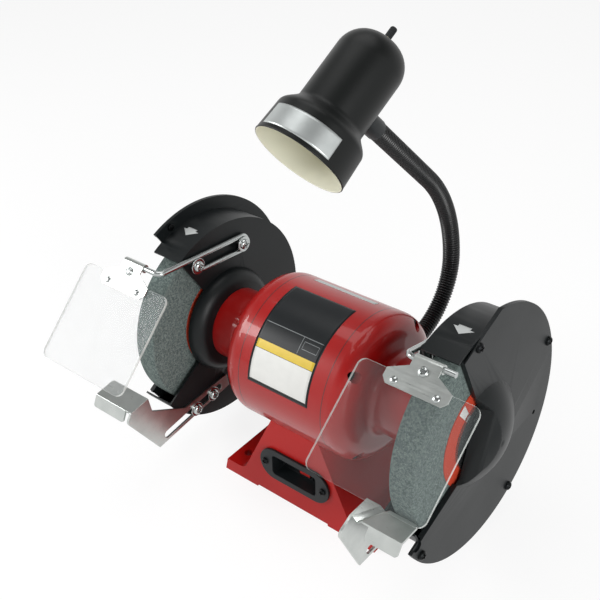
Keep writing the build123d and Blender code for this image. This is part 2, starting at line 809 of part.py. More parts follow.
# Guards: a pressed drum on the motor's nose, closed by a domed cover
for side, tag in sides.items():
    turn = guard_turn[side]
    with BuildPart() as guard_drum:
        with BuildSketch(guard_plane(side, plate_x, turn)):
            Circle(drum_r)
            Circle(boss_base_r, mode=Mode.SUBTRACT)
        extrude(amount=-side * sheet)
        with BuildSketch(guard_plane(side, plate_x, turn)):
            Circle(drum_r)
            Circle(drum_r - sheet, mode=Mode.SUBTRACT)
        extrude(amount=-side * (cover_x - plate_x))
        with BuildSketch(guard_plane(side, plate_x, turn)):
            reach = 2 * drum_r
            edges = (opening_middle + opening_half, opening_middle, opening_middle - opening_half)
            corners = [(reach * cos(radians(a)), reach * sin(radians(a))) for a in edges]
            Polygon((0, 0), *corners, align=None)
            Circle(boss_base_r, mode=Mode.SUBTRACT)
        extrude(amount=-side * (cover_x - plate_x), mode=Mode.SUBTRACT)
        with BuildSketch(axial):
            outer = ((side * plate_x, boss_base_r), (side * nose_end, boss_top_r))
            inner = (
                (side * (nose_end + sheet), boss_top_r - sheet / 2),
                (side * (plate_x + sheet), boss_base_r - sheet),
            )
            with BuildLine():
                ThreePointArc(outer[0], bulged(*outer, -side * boss_bulge), outer[1])
                Polyline(outer[1], (side * nose_end, shaft_hole_r), (inner[0][0], shaft_hole_r), inner[0])
                ThreePointArc(inner[0], bulged(*inner, side * boss_bulge), inner[1])
                Polyline(inner[1], (inner[1][0], boss_base_r), outer[0])
            make_face()
        revolve(axis=shaft_axis)
        with BuildSketch(cover_plane(side, cover_x)):
            Circle(cover_r)
            Circle(drum_r - sheet, mode=Mode.SUBTRACT)
            with PolarLocations(chord_r + cover_r / 2, 1, start_angle=opening_half):
                Rectangle(cover_r, 2 * cover_r, mode=Mode.SUBTRACT)
            Polygon(*mouth_points(0), align=None, mode=Mode.SUBTRACT)
            with PolarLocations(inner_screw_ring, 1, start_angle=opening_half + tab_turn):
                Rectangle(2 * (drum_r - inner_screw_ring), tab_w)
        extrude(amount=sheet)
        with BuildSketch(cover_plane(side, cover_x)):
            with PolarLocations(inner_screw_ring, 1, start_angle=opening_half + tab_turn):
                Circle(screw_d / 2)
            for angle in screw_turns:
                with PolarLocations(screw_ring, 1, start_angle=angle):
                    Circle(screw_d / 2)
        extrude(amount=2 * sheet, mode=Mode.SUBTRACT)
        with BuildSketch(line_plane(side, plate_x, rest_bolt, rest_angle)):
            with Locations((0, 0), (rest_bolt_pitch, 0)):
                Circle(rest_bolt_d / 2)
        extrude(amount=-side * sheet, mode=Mode.SUBTRACT)
        with BuildSketch(line_plane(side, plate_x, arm_bolt, arm_angle)):
            with Locations((0, 0), (front_screw, 0)):
                Circle(arm_bolt_d / 2)
        extrude(amount=-side * sheet, mode=Mode.SUBTRACT)
    guard_drum.part.label = f"guard_drum_{tag}"
    export_step(guard_drum.part, f"parts/guard_drum_{tag}.step")

    dome = dome_block(side, dome_r, sheet, 0)
    cavity = dome_block(side, dome_r - sheet, 0, sheet)
    with BuildPart() as guard_cover:
        with BuildSketch(cover_plane(side, cover_x)):
            Circle(cover_r)
            Circle(dome_r, mode=Mode.SUBTRACT)
            Polygon(*mouth_points(0), align=None, mode=Mode.SUBTRACT)
            with PolarLocations(chord_r + cover_r / 2, 1, start_angle=opening_half):
                Rectangle(cover_r, 2 * cover_r, mode=Mode.SUBTRACT)
            with PolarLocations(inner_screw_ring, 1, start_angle=spare_turn):
                Circle(screw_d / 2, mode=Mode.SUBTRACT)
            with PolarLocations(drum_r + 2 * sheet, 1, start_angle=-opening_half - notch_turn):
                Circle(notch_r, mode=Mode.SUBTRACT)
            with PolarLocations(inner_screw_ring, 1, start_angle=opening_half + tab_turn):
                Circle(screw_d / 2, mode=Mode.SUBTRACT)
            for angle in screw_turns:
                with PolarLocations(screw_ring, 1, start_angle=angle):
                    Circle(screw_d / 2, mode=Mode.SUBTRACT)
        extrude(amount=-sheet)
        add(dome - cavity)
        with BuildSketch(cover_plane(side, cover_x)):
            Circle(drum_r - 2 * sheet)
            Circle(dome_r, mode=Mode.SUBTRACT)
            Polygon(*mouth_points(sheet), align=None, mode=Mode.INTERSECT)
            Polygon(*mouth_points(0), align=None, mode=Mode.SUBTRACT)
        extrude(amount=mouth_lip)
    guard_cover.part.label = f"guard_cover_{tag}"
    export_step(guard_cover.part, f"parts/guard_cover_{tag}.step")

with BuildPart() as cover_screws:
    rings = [(inner_screw_ring, opening_half + tab_turn)] + [(screw_ring, angle) for angle in screw_turns]
    for side in sides:
        for ring, angle in rings:
            with BuildSketch(cover_plane(side, cover_x + sheet)):
                with PolarLocations(ring, 1, start_angle=angle):
                    Circle(screw_d / 2)
            extrude(amount=2 * sheet)
            with BuildSketch(cover_plane(side, cover_x + sheet)):
                with PolarLocations(ring, 1, start_angle=angle):
                    Circle(screw_head_d / 2)
            extrude(amount=-screw_head_t)
cover_screws.part.label = "cover_screws"
export_step(cover_screws.part, "parts/cover_screws.step")

# Tool rests: one bent sheet each, a slotted flange that folds into a table with a turned-down lip
for side, tag in sides.items():
    flange_plane = line_plane(side, rest_x, rest_bolt, rest_angle)
    ahead, above = flange_plane.x_dir, flange_plane.y_dir
    front = table_to[side]
    back = front - table_deep
    fold_x = rest_x - rest_t
    bend = line_plane(side, 0, rest_bolt, rest_angle).from_local_coords((front, table_q, 0))
    slope = radians(lip_angle)
    with BuildPart() as tool_rest:
        with BuildSketch(flange_plane) as rest_flange:
            Polygon(
                (slot_from - rest_tail, -rest_below),
                (rest_toe, -rest_below),
                (rest_nose, rest_nose_q),
                (front, table_q),
                (back, table_q),
                (back, table_q - web_drop),
                (web_foot, rest_above),
                (slot_from - rest_tail, rest_heel),
                align=None,
            )
            fillet(rest_flange.vertices().sort_by(Axis.X)[-1], nose_round)
            with Locations(((slot_from + slot_to) / 2, slot_up)):
                SlotOverall(slot_to - slot_from, slot_w, mode=Mode.SUBTRACT)
        extrude(amount=side * rest_t)
        with BuildSketch(Plane(bend, (side, 0, 0), above * side)) as table:
            with Locations((fold_x + table_w / 2, table_deep / 2)):
                Rectangle(table_w, table_deep)
            free = table.vertices().group_by(Axis.X)[-1]
            fillet(free.sort_by(Axis.Y)[-1], table_corner)
        extrude(amount=-side * rest_t)
        with BuildSketch(Plane(bend, (side, 0, 0), (ahead * sin(slope) + above * cos(slope)) * side)) as lip:
            lip_w = fold_x + table_w - rest_x - lip_from[side]
            with Locations((rest_x + lip_from[side] + lip_w / 2, -lip_l / 2)):
                Rectangle(lip_w, lip_l)
            fillet(lip.vertices().group_by(Axis.Y)[0], lip_corner)
        extrude(amount=-side * rest_t)
        if side == 1:
            along = ahead * -cos(radians(groove_angle)) + Vector(sin(radians(groove_angle)), 0, 0)
            groove_plane = Plane(bend + Vector(rest_x + groove_x, 0, 0), (1, 0, 0), -ahead)
            run = table_deep / cos(radians(groove_angle))
            with BuildSketch(groove_plane):
                ridge_half = groove_w / 2 + rest_t
                Polygon((-ridge_half, 0), (ridge_half, 0), (0, groove_deep + rest_t), align=None)
            extrude(amount=run, dir=along)
            with BuildSketch(groove_plane):
                Polygon((-groove_w / 2, 0), (groove_w / 2, 0), (0, groove_deep), align=None)
            extrude(amount=run, dir=along, mode=Mode.SUBTRACT)
    tool_rest.part.label = f"tool_rest_{tag}"
    export_step(tool_rest.part, f"parts/tool_rest_{tag}.step")

with BuildPart() as rest_bolts:
    for side in sides:
        stages = (
            (bolt_end_x, rest_bolt_d / 2, bolt_end_x - washer_x),
            (washer_x, rest_washer_r, washer_t),
            (washer_x - washer_t, bolt_head_r, bolt_head_t),
        )
        for start, radius, length in stages:
            with BuildSketch(line_plane(side, start, rest_bolt, rest_angle)):
                with Locations((0, 0), (rest_bolt_pitch, 0)):
                    Circle(radius)
            extrude(amount=side * length)
        with BuildSketch(line_plane(side, plate_x + sheet, rest_bolt, rest_angle)):
            with Locations((0, 0), (rest_bolt_pitch, 0)):
                RegularPolygon(bolt_nut_r, 6)
        extrude(amount=-side * bolt_nut_t)
rest_bolts.part.label = "rest_bolts"
export_step(rest_bolts.part, "parts/rest_bolts.step")

# Eye shields: a bent rod that slides under two screws, a strap that turns on its end
for side, tag in sides.items():
    arm_plane = line_plane(side, 0, arm_bolt, arm_angle)
    ahead = arm_plane.x_dir
    out = Vector(side, 0, 0)

    def arm_point(p, q, x):
        return arm_plane.from_local_coords((p + arm_slid[side], q, -side * x))

    elbow = arm_point(arm_reach, loop_half, rod_x)
    bend_centre = elbow - ahead * rod_bend + out * rod_bend
    with BuildPart() as shield_arm:
        with BuildLine() as rod_path:
            Line(arm_point(return_to, -loop_half, rod_x), arm_point(0, -loop_half, rod_x))
            ThreePointArc(
                arm_point(0, -loop_half, rod_x),
                arm_point(-loop_half, 0, rod_x),
                arm_point(0, loop_half, rod_x),
            )
            Line(arm_point(0, loop_half, rod_x), elbow - ahead * rod_bend)
            ThreePointArc(
                elbow - ahead * rod_bend,
                bend_centre + (ahead - out) * (rod_bend * sqrt(0.5)),
                elbow + out * rod_bend,
            )
            Line(elbow + out * rod_bend, arm_point(arm_reach, loop_half, rod_end))
        with BuildSketch(Plane(arm_point(return_to, -loop_half, rod_x), out, -ahead)):
            Circle(rod_r)
        sweep(path=rod_path.line)
    shield_arm.part.label = f"shield_arm_{tag}"
    export_step(shield_arm.part, f"parts/shield_arm_{tag}.step")

    phi = radians(shield_tilt[side])
    pivot = arm_point(arm_reach, loop_half, 0)
    pivot = Vector(side * shield_centre[side], pivot.Y, pivot.Z)
    strap_plane = Plane(pivot, (1, 0, 0), (0, -sin(phi), cos(phi)))
    strap_from = strap_plane.offset(knuckle_r)
    with BuildPart() as shield_strap:
        with BuildSketch(strap_from):
            Polygon(
                (-strap_tab, 0),
                (-strap_tab, -strap_tab_l),
                (-strap_half, -strap_shoulder),
                (-strap_half, strap_corner - strap_l),
                (strap_corner - strap_half, -strap_l),
                (strap_half - strap_corner, -strap_l),
                (strap_half, strap_corner - strap_l),
                (strap_half, -strap_shoulder),
                (strap_tab, -strap_tab_l),
                (strap_tab, 0),
                align=None,
            )
        extrude(amount=strap_t)
        with BuildSketch(Plane(pivot - Vector(strap_tab, 0, 0), (0, 1, 0), (1, 0, 0))):
            Circle(knuckle_r + strap_t)
        extrude(amount=2 * strap_tab)
        with BuildSketch(Plane(pivot - Vector(strap_tab, 0, 0), (0, 1, 0), (1, 0, 0))):
            Circle(knuckle_r)
        extrude(amount=2 * strap_tab, mode=Mode.SUBTRACT)
        with BuildSketch(strap_from):
            with Locations((0, -clamp_s)):
                Circle(clamp_d / 2)
            with Locations((-rivet_x, -rivet_s), (rivet_x, -rivet_s)):
                Circle(rivet_d / 2)
        extrude(amount=strap_t, mode=Mode.SUBTRACT)
    shield_strap.part.label = f"shield_strap_{tag}"
    export_step(shield_strap.part, f"parts/shield_strap_{tag}.step")

    with BuildPart() as clamp_screw:
        with BuildSketch(strap_from.offset(strap_t)):
            with Locations((0, -clamp_s)):
                Circle(clamp_head_r)
        extrude(amount=clamp_head_t)
        with BuildSketch(strap_from.offset(strap_t)):
            with Locations((0, -clamp_s)):
                Circle(clamp_d / 2)
        extrude(amount=-strap_t - clamp_nut_t - clamp_tail)
        with BuildSketch(strap_from):
            with Locations((0, -clamp_s)):
                RegularPolygon(clamp_nut_r, 6)
        extrude(amount=-clamp_nut_t)
    clamp_screw.part.label = f"clamp_screw_{tag}"
    export_step(clamp_screw.part, f"parts/clamp_screw_{tag}.step")

    with BuildPart() as shield_rivets:
        with BuildSketch(strap_from.offset(strap_t)):
            with Locations((-rivet_x, -rivet_s), (rivet_x, -rivet_s)):
                Circle(rivet_head_r)
        extrude(amount=rivet_head_t)
        with BuildSketch(strap_from.offset(strap_t)):
            with Locations((-rivet_x, -rivet_s), (rivet_x, -rivet_s)):
                Circle(rivet_d / 2)
        extrude(amount=-strap_t - shield_t)
        with BuildSketch(strap_from.offset(-shield_t)):
            with Locations((-rivet_x, -rivet_s), (rivet_x, -rivet_s)):
                Circle(rivet_head_r)
        extrude(amount=-rivet_head_t)
    shield_rivets.part.label = f"shield_rivets_{tag}"
    export_step(shield_rivets.part, f"parts/shield_rivets_{tag}.step")

    with BuildPart() as eye_shield:
        with BuildSketch(strap_from.offset(-shield_t)):
            with Locations((0, -(shield_from + shield_to) / 2)):
                RectangleRounded(shield_w, shield_to - shield_from, shield_corner)
            with Locations((-rivet_x, -rivet_s), (rivet_x, -rivet_s)):
                Circle(rivet_d / 2, mode=Mode.SUBTRACT)
        extrude(amount=shield_t)
    eye_shield.part.label = f"eye_shield_{tag}"
    export_step(eye_shield.part, f"parts/eye_shield_{tag}.step")

with BuildPart() as arm_bolts:
    head_x = rod_x - rod_r - rod_gap
    for side in sides:
        stages = (
            (bolt_end_x, arm_bolt_d / 2, bolt_end_x - head_x),
            (head_x, arm_washer_r, washer_t),
            (head_x - washer_t, bolt_head_r, bolt_head_t),
        )
        for start, radius, length in stages:
            with BuildSketch(line_plane(side, start, arm_bolt, arm_angle)):
                with Locations((0, 0), (front_screw, 0)):
                    Circle(radius)
            extrude(amount=side * length)
        with BuildSketch(line_plane(side, plate_x + sheet, arm_bolt, arm_angle)):
            with Locations((0, 0), (front_screw, 0)):
                RegularPolygon(bolt_nut_r, 6)
        extrude(amount=-side * bolt_nut_t)
arm_bolts.part.label = "arm_bolts"
export_step(arm_bolts.part, "parts/arm_bolts.step")

# Lamp: a ribbed neck in three spans that seat on balls, and a spun shade
spans = {
    "neck_lower": (0, lower_l),
    "neck_middle": (lower_l, lower_l + upper_l),
    "neck_upper": (lower_l + upper_l, neck_l),
}

with BuildPart() as lamp_mount:
    with BuildSketch(pad_plane.offset(lamp_pad_y)):
        RegularPolygon(lamp_pad_r, 6)
    extrude(amount=neck_y - joint_room - lamp_pad_y)
    with BuildSketch(pad_plane.offset(lamp_pad_y)):
        Circle(stem_r)
    extrude(amount=neck_y - lamp_pad_y)
    with Locations(neck_at(0)[0]):
        Sphere(ball_r)
    with BuildSketch(pad_plane):
        Circle(neck_bore / 2)
    extrude(amount=neck_y + 2 * ball_r, mode=Mode.SUBTRACT)
lamp_mount.part.label = "lamp_mount"
export_step(lamp_mount.part, "parts/lamp_mount.step")

for name, (begin, end) in spans.items():
    stop = end - joint_room
    first = begin + collar_l
    ribs = round((stop - collar_l - first) / rib_pitch)
    pitch = (stop - collar_l - first) / ribs
    with BuildPart() as span:
        stations = [(begin, neck_r)]
        for i in range(ribs):
            foot = first + i * pitch
            stations += [
                (foot, neck_r),
                (foot + rib_share * pitch, neck_r),
                (foot + (rib_share + rib_slope) * pitch, neck_r - rib_deep),
                (foot + (1 - rib_slope) * pitch, neck_r - rib_deep),
            ]
        stations += [(stop - collar_l, neck_r), (stop, neck_r)]
        for s, radius in stations:
            with BuildSketch(neck_plane(s)):
                Circle(radius)
        loft(ruled=True)
        with BuildSketch(neck_plane(end)):
            Circle(stem_r)
        extrude(amount=-joint_room - collar_l)
        with Locations(neck_at(end)[0]):
            Sphere(ball_r)
        with BuildLine() as bore_path:
            if name == "neck_upper":
                Line(neck_at(begin)[0], neck_at(end)[0])
            else:
                ThreePointArc(neck_at(begin)[0], neck_at((begin + end) / 2)[0], neck_at(end)[0])
        with BuildSketch(neck_plane(begin)):
            Circle(neck_bore / 2)
        sweep(path=bore_path.line, mode=Mode.SUBTRACT)
        with BuildSketch(neck_plane(end)):
            Circle(neck_bore / 2)
        extrude(amount=2 * ball_r, mode=Mode.SUBTRACT)
        with Locations(neck_at(begin)[0]):
            Sphere(ball_r + ball_fit, mode=Mode.SUBTRACT)
    span.part.label = name
    export_step(span.part, f"parts/{name}.step")

# Shade axis, from the mouth to the crown
yaw = radians(shade_yaw)
pitch_angle = radians(shade_pitch)
to_crown = Vector(-sin(yaw) * cos(pitch_angle), cos(yaw) * cos(pitch_angle), sin(pitch_angle))
hang, neck_heading = neck_at(neck_l + shade_reach)
mouth = hang - to_crown * shade_hang
across = to_crown.cross(Vector(0, 0, 1)).normalized()
shade_plane = Plane(mouth, across, across.cross(to_crown))
shade_axis = Axis(mouth, to_crown)


def shade_across(t):
    """Plane square to the shade's axis, t from its mouth, facing the crown."""
    return Plane(mouth + to_crown * t, across, to_crown)


with BuildPart() as shade_ferrule:
    with BuildSketch(neck_plane(neck_l)):
        Circle(neck_r)
    extrude(amount=shade_reach)
    with BuildSketch(shade_across(barrel_from)):
        Circle(barrel_r)
    extrude(amount=barrel_to - barrel_from, mode=Mode.SUBTRACT)
    with Locations(neck_at(neck_l)[0]):
        Sphere(ball_r + ball_fit, mode=Mode.SUBTRACT)
    with BuildSketch(neck_plane(neck_l)):
        Circle(neck_bore / 2)
    extrude(amount=shade_reach, mode=Mode.SUBTRACT)
shade_ferrule.part.label = "shade_ferrule"
export_step(shade_ferrule.part, "parts/shade_ferrule.step")

with BuildPart() as shade:
    with BuildSketch(shade_plane):
        with BuildLine():
            Polyline(
                (mouth_r, 0),
                (collar_r, collar_to),
                (barrel_r, barrel_from),
                (barrel_r, barrel_to),
            )
            outer = ((barrel_r, barrel_to), (crown_r, shade_l))
            inner = ((crown_r, shade_l - shade_wall), (barrel_r - shade_wall, barrel_to))
            ThreePointArc(outer[0], bulged(*outer, -crown_bulge), outer[1])
            Polyline(outer[1], (nipple_r, shade_l), (nipple_r, shade_l - shade_wall), inner[0])
            ThreePointArc(inner[0], bulged(*inner, crown_bulge), inner[1])
            Polyline(
                (barrel_r - shade_wall, barrel_to),
                (barrel_r - shade_wall, barrel_from + 0.5 * shade_wall),
                (collar_r - shade_wall, collar_to + 0.5 * shade_wall),
                (mouth_r - shade_wall, 0),
                (mouth_r, 0),
            )
        make_face()
    revolve(axis=shade_axis)
shade.part.label = "shade"
export_step(shade.part, "parts/shade.step")

# Bulb holder, hung from the crown by its threaded nipple and nut
with BuildPart() as bulb_holder:
    with BuildSketch(shade_across(holder_from)):
        Circle(holder_r)
    extrude(amount=holder_to - holder_from)
    with BuildSketch(shade_across(holder_to)):
        Circle(nipple_r)
    extrude(amount=shade_l + lamp_nut_t - holder_to)
    with BuildSketch(shade_across(holder_from)):
        Circle(bulb_r)
    extrude(amount=bulb_deep, mode=Mode.SUBTRACT)
bulb_holder.part.label = "bulb_holder"
export_step(bulb_holder.part, "parts/bulb_holder.step")

with BuildPart() as lamp_nut:
    with BuildSketch(shade_across(shade_l)):
        RegularPolygon(lamp_nut_r, 6)
        Circle(nipple_r, mode=Mode.SUBTRACT)
    extrude(amount=lamp_nut_t)
lamp_nut.part.label = "lamp_nut"
export_step(lamp_nut.part, "parts/lamp_nut.step")

with BuildPart() as lamp_knob:
    with BuildSketch(shade_across(shade_l + lamp_nut_t)):
        Circle(knob_r)
    extrude(amount=knob_l)
lamp_knob.part.label = "lamp_knob"
export_step(lamp_knob.part, "parts/lamp_knob.step")
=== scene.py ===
"""Looks of a bench grinder: enclosed motor, guarded wheels, tool rests, eye shields and a gooseneck lamp.

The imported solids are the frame. Lengths are written in millimetres and become metres where a mesh is made.
X runs along the shaft, +Y to the rear and +Z up.
"""

from __future__ import annotations

import json
import logging
from dataclasses import dataclass
from enum import Enum
from math import cos, pi, radians, sin

import bmesh
import bpy
import numpy as np
from mathutils import Matrix, Vector

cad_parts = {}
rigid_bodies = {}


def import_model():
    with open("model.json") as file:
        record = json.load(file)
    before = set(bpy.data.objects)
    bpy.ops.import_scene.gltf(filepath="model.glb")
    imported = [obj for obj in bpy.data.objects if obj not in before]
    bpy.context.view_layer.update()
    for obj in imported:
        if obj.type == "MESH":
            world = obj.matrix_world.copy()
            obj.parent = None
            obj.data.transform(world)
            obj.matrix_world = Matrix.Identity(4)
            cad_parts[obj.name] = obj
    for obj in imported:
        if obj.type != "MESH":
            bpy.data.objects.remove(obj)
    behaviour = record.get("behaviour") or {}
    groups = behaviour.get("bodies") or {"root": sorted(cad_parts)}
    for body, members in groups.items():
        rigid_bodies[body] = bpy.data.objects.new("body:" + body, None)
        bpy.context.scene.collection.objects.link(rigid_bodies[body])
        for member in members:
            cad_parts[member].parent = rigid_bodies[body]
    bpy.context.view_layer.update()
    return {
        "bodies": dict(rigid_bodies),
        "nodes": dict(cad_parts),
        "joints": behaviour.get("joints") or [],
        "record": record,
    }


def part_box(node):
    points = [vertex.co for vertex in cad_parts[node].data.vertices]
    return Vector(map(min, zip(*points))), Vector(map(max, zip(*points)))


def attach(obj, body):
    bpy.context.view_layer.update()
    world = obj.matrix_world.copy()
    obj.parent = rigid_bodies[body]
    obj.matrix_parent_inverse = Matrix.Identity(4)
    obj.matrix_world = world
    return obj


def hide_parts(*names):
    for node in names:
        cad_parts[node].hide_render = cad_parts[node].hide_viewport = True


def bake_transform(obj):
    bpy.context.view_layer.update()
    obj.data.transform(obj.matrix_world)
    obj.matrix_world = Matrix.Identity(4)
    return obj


log = logging.getLogger("bench_grinder")

MM = 0.001
MERGE_M = 1e-6
ALONG_X = np.array((1.0, 0.0, 0.0))

# Sockets of the colour mix, which share their names with those of its other types
MIX_FACTOR = 0
MIX_A = 6
MIX_B = 7
MIX_RESULT = 2

NOISE = "ShaderNodeTexNoise"
COORDINATES = "ShaderNodeTexCoord"
MIX = "ShaderNodeMix"
SPAN = "ShaderNodeMapRange"
BUMP = "ShaderNodeBump"
MATHS = "ShaderNodeMath"

Array = np.ndarray
Pair = tuple[float, float]
Triple = tuple[float, float, float]
Links = dict[str | int, tuple[bpy.types.Node, str | int]]


class Side(Enum):
    """The two ends of the spindle, as the operator sees them."""

    LEFT = -1
    RIGHT = 1

    @property
    def tag(self) -> str:
        """Ending of the names of this side's nodes."""
        return self.name.lower()


class Sheen(Enum):
    """How a coat of paint reflects: its roughness and the weight of its clear coat."""

    GLOSS = (0.34, 0.45)
    SATIN = (0.40, 0.0)
    EGGSHELL = (0.55, 0.0)


def hex_linear(code: str) -> tuple[float, float, float, float]:
    """Turns an sRGB hex colour into linear RGBA.

    Args:
        code: six hex digits.

    Returns:
        The linear colour with alpha 1.
    """
    srgb = np.array([int(code[i : i + 2], 16) for i in (0, 2, 4)]) / 255
    linear = np.where(srgb <= 0.04045, srgb / 12.92, ((srgb + 0.055) / 1.055) ** 2.4)
    return (*linear.tolist(), 1.0)


def per_metre(size_mm: float) -> float:
    """Scale of a texture whose features have a size in millimetres."""
    return 1000.0 / size_mm


def add_node(
    tree: bpy.types.NodeTree,
    kind: str | bpy.types.Node,
    settings: dict[str | int, object] | None = None,
    links: Links | None = None,
) -> bpy.types.Node:
    """Adds a node with its settings and links.

    Args:
        tree: the nodes that it joins.
        kind: the node's type, or a node that is there already.
        settings: values of its sockets or properties.
        links: for each input, the node and output that feed it.

    Returns:
        The node.
    """
    node = tree.nodes.new(kind) if isinstance(kind, str) else kind
    for name, value in (settings or {}).items():
        if isinstance(name, int) or name in node.inputs:
            node.inputs[name].default_value = value
        else:
            setattr(node, name, value)
    for name, (source, output) in (links or {}).items():
        tree.links.new(source.outputs[output], node.inputs[name])
    return node


@dataclass(frozen=True)
class Finish:
    """A surface finish: its name and how its material is made."""

    name: str

    def shade(self, tree: bpy.types.NodeTree, shader: bpy.types.Node) -> None:
        """Sets the shader's sockets and adds the finish's patterns."""
        raise NotImplementedError

    def material(self) -> bpy.types.Material:
        """The finish's material, made the first time it is asked for.

        Returns:
            The material.
        """
        found = bpy.data.materials.get(self.name)
        if found:
            return found
        made = bpy.data.materials.new(self.name)
        made.use_nodes = True
        self.shade(made.node_tree, made.node_tree.nodes["Principled BSDF"])
        return made


@dataclass(frozen=True)
class Enamel(Finish):
    """Sprayed enamel: a slight orange peel, a tone that drifts over the piece, and a clear coat.

    The peel of a good coat is finer than a millimetre. It is drawn larger, so that it shows.
    """

    colour: str
    deep: str
    sheen: Sheen = Sheen.GLOSS
    peel_mm: float = 3.0
    peel_deep_mm: float = 0.02
    drift_mm: float = 70.0
    ior: float = 1.5
    sway: float = 0.06
    coat_roughness: float = 0.05

    def shade(self, tree: bpy.types.NodeTree, shader: bpy.types.Node) -> None:
        """Two noises: the fine one is the peel, the broad one moves colour and roughness.

        Args:
            tree: the material's nodes.
            shader: the node that they feed.
        """
        rough, coat = self.sheen.value
        on_piece = {"Vector": (add_node(tree, COORDINATES), "Object")}
        drift = add_node(tree, NOISE, {"Scale": per_metre(self.drift_mm), "Detail": 4.0}, on_piece)
        peel = add_node(tree, NOISE, {"Scale": per_metre(self.peel_mm), "Detail": 2.0}, on_piece)
        colours = {"data_type": "RGBA", MIX_A: hex_linear(self.colour), MIX_B: hex_linear(self.deep)}
        tone = add_node(tree, MIX, colours, {MIX_FACTOR: (drift, "Fac")})
        span = {"To Min": rough - self.sway, "To Max": rough + self.sway}
        gloss = add_node(tree, SPAN, span, {"Value": (drift, "Fac")})
        depth = {"Strength": 0.6, "Distance": self.peel_deep_mm * MM}
        bump = add_node(tree, BUMP, depth, {"Height": (peel, "Fac")})
        add_node(
            tree,
            shader,
            {"IOR": self.ior, "Coat Weight": coat, "Coat Roughness": self.coat_roughness},
            {"Base Color": (tone, MIX_RESULT), "Roughness": (gloss, "Result"), "Normal": (bump, "Normal")},
        )


@dataclass(frozen=True)
class Plating(Finish):
    """Bare or plated metal: drawn streaks along X, and cloudy patches where the plating dulls.

    Real draw marks are finer than a tenth of a millimetre. They are drawn larger, so that they show.
    """

    colour: str
    dull: str
    roughness: float = 0.30
    streak_mm: float = 1.2
    streak_stretch: float = 0.06
    streak_deep_mm: float = 0.02
    cloud_mm: float = 14.0
    smoother: float = 0.08
    rougher: float = 0.10

    def shade(self, tree: bpy.types.NodeTree, shader: bpy.types.Node) -> None:
        """A stretched noise roughens and bumps the metal, a broad one mixes its two tones.

        Args:
            tree: the material's nodes.
            shader: the node that they feed.
        """
        on_piece = {"Vector": (add_node(tree, COORDINATES), "Object")}
        drawn = add_node(tree, "ShaderNodeMapping", {"Scale": (self.streak_stretch, 1.0, 1.0)}, on_piece)
        fine = {"Scale": per_metre(self.streak_mm), "Detail": 3.0}
        streak = add_node(tree, NOISE, fine, {"Vector": (drawn, "Vector")})
        cloud = add_node(tree, NOISE, {"Scale": per_metre(self.cloud_mm), "Detail": 3.0}, on_piece)
        colours = {"data_type": "RGBA", MIX_A: hex_linear(self.colour), MIX_B: hex_linear(self.dull)}
        tone = add_node(tree, MIX, colours, {MIX_FACTOR: (cloud, "Fac")})
        span = {"To Min": self.roughness - self.smoother, "To Max": self.roughness + self.rougher}
        gloss = add_node(tree, SPAN, span, {"Value": (streak, "Fac")})
        depth = {"Strength": 0.15, "Distance": self.streak_deep_mm * MM}
        bump = add_node(tree, BUMP, depth, {"Height": (streak, "Fac")})
        add_node(
            tree,
            shader,
            {"Metallic": 1.0},
            {"Base Color": (tone, MIX_RESULT), "Roughness": (gloss, "Result"), "Normal": (bump, "Normal")},
        )


@dataclass(frozen=True)
class VitrifiedGrit(Finish):
    """Fired abrasive grains: pale and dark grains side by side, dull, with open pores between them.

    The grains of such a wheel are about half a millimetre. They are drawn larger, so that they show.
    """

    pale: str
    dark: str
    grain_mm: float = 1.5
    pore_deep_mm: float = 0.5
    roughness: float = 0.92
    specular: float = 0.3

    def shade(self, tree: bpy.types.NodeTree, shader: bpy.types.Node) -> None:
        """Each cell of a Voronoi pattern is one grain with its own tone, and the cell's shape is the bump.

        Args:
            tree: the material's nodes.
            shader: the node that they feed.
        """
        on_piece = {"Vector": (add_node(tree, COORDINATES), "Object")}
        grain = add_node(tree, "ShaderNodeTexVoronoi", {"Scale": per_metre(self.grain_mm)}, on_piece)
        parts = add_node(tree, "ShaderNodeSeparateColor", None, {"Color": (grain, "Color")})
        colours = {"data_type": "RGBA", MIX_A: hex_linear(self.dark), MIX_B: hex_linear(self.pale)}
        tone = add_node(tree, MIX, colours, {MIX_FACTOR: (parts, "Red")})
        depth = {"Strength": 0.5, "Distance": self.pore_deep_mm * MM, "invert": True}
        bump = add_node(tree, BUMP, depth, {"Height": (grain, "Distance")})
        add_node(
            tree,
            shader,
            {"Roughness": self.roughness, "Specular IOR Level": self.specular},
            {"Base Color": (tone, MIX_RESULT), "Normal": (bump, "Normal")},
        )


@dataclass(frozen=True)
class DyedCard(Finish):
    """Thick dyed blotting card: matt, with faint fibres, which are drawn larger so that they show."""

    colour: str
    worn: str
    fibre_mm: float = 2.0
    fibre_deep_mm: float = 0.1
    roughness: float = 0.8

    def shade(self, tree: bpy.types.NodeTree, shader: bpy.types.Node) -> None:
        """One noise of fibre size mixes the dye's two tones and lifts the surface a little.

        Args:
            tree: the material's nodes.
            shader: the node that they feed.
        """
        on_piece = {"Vector": (add_node(tree, COORDINATES), "Object")}
        fibre = add_node(tree, NOISE, {"Scale": per_metre(self.fibre_mm), "Detail": 5.0}, on_piece)
        colours = {"data_type": "RGBA", MIX_A: hex_linear(self.colour), MIX_B: hex_linear(self.worn)}
        tone = add_node(tree, MIX, colours, {MIX_FACTOR: (fibre, "Fac")})
        depth = {"Strength": 0.3, "Distance": self.fibre_deep_mm * MM}
        bump = add_node(tree, BUMP, depth, {"Height": (fibre, "Fac")})
        add_node(
            tree,
            shader,
            {"Roughness": self.roughness},
            {"Base Color": (tone, MIX_RESULT), "Normal": (bump, "Normal")},
        )


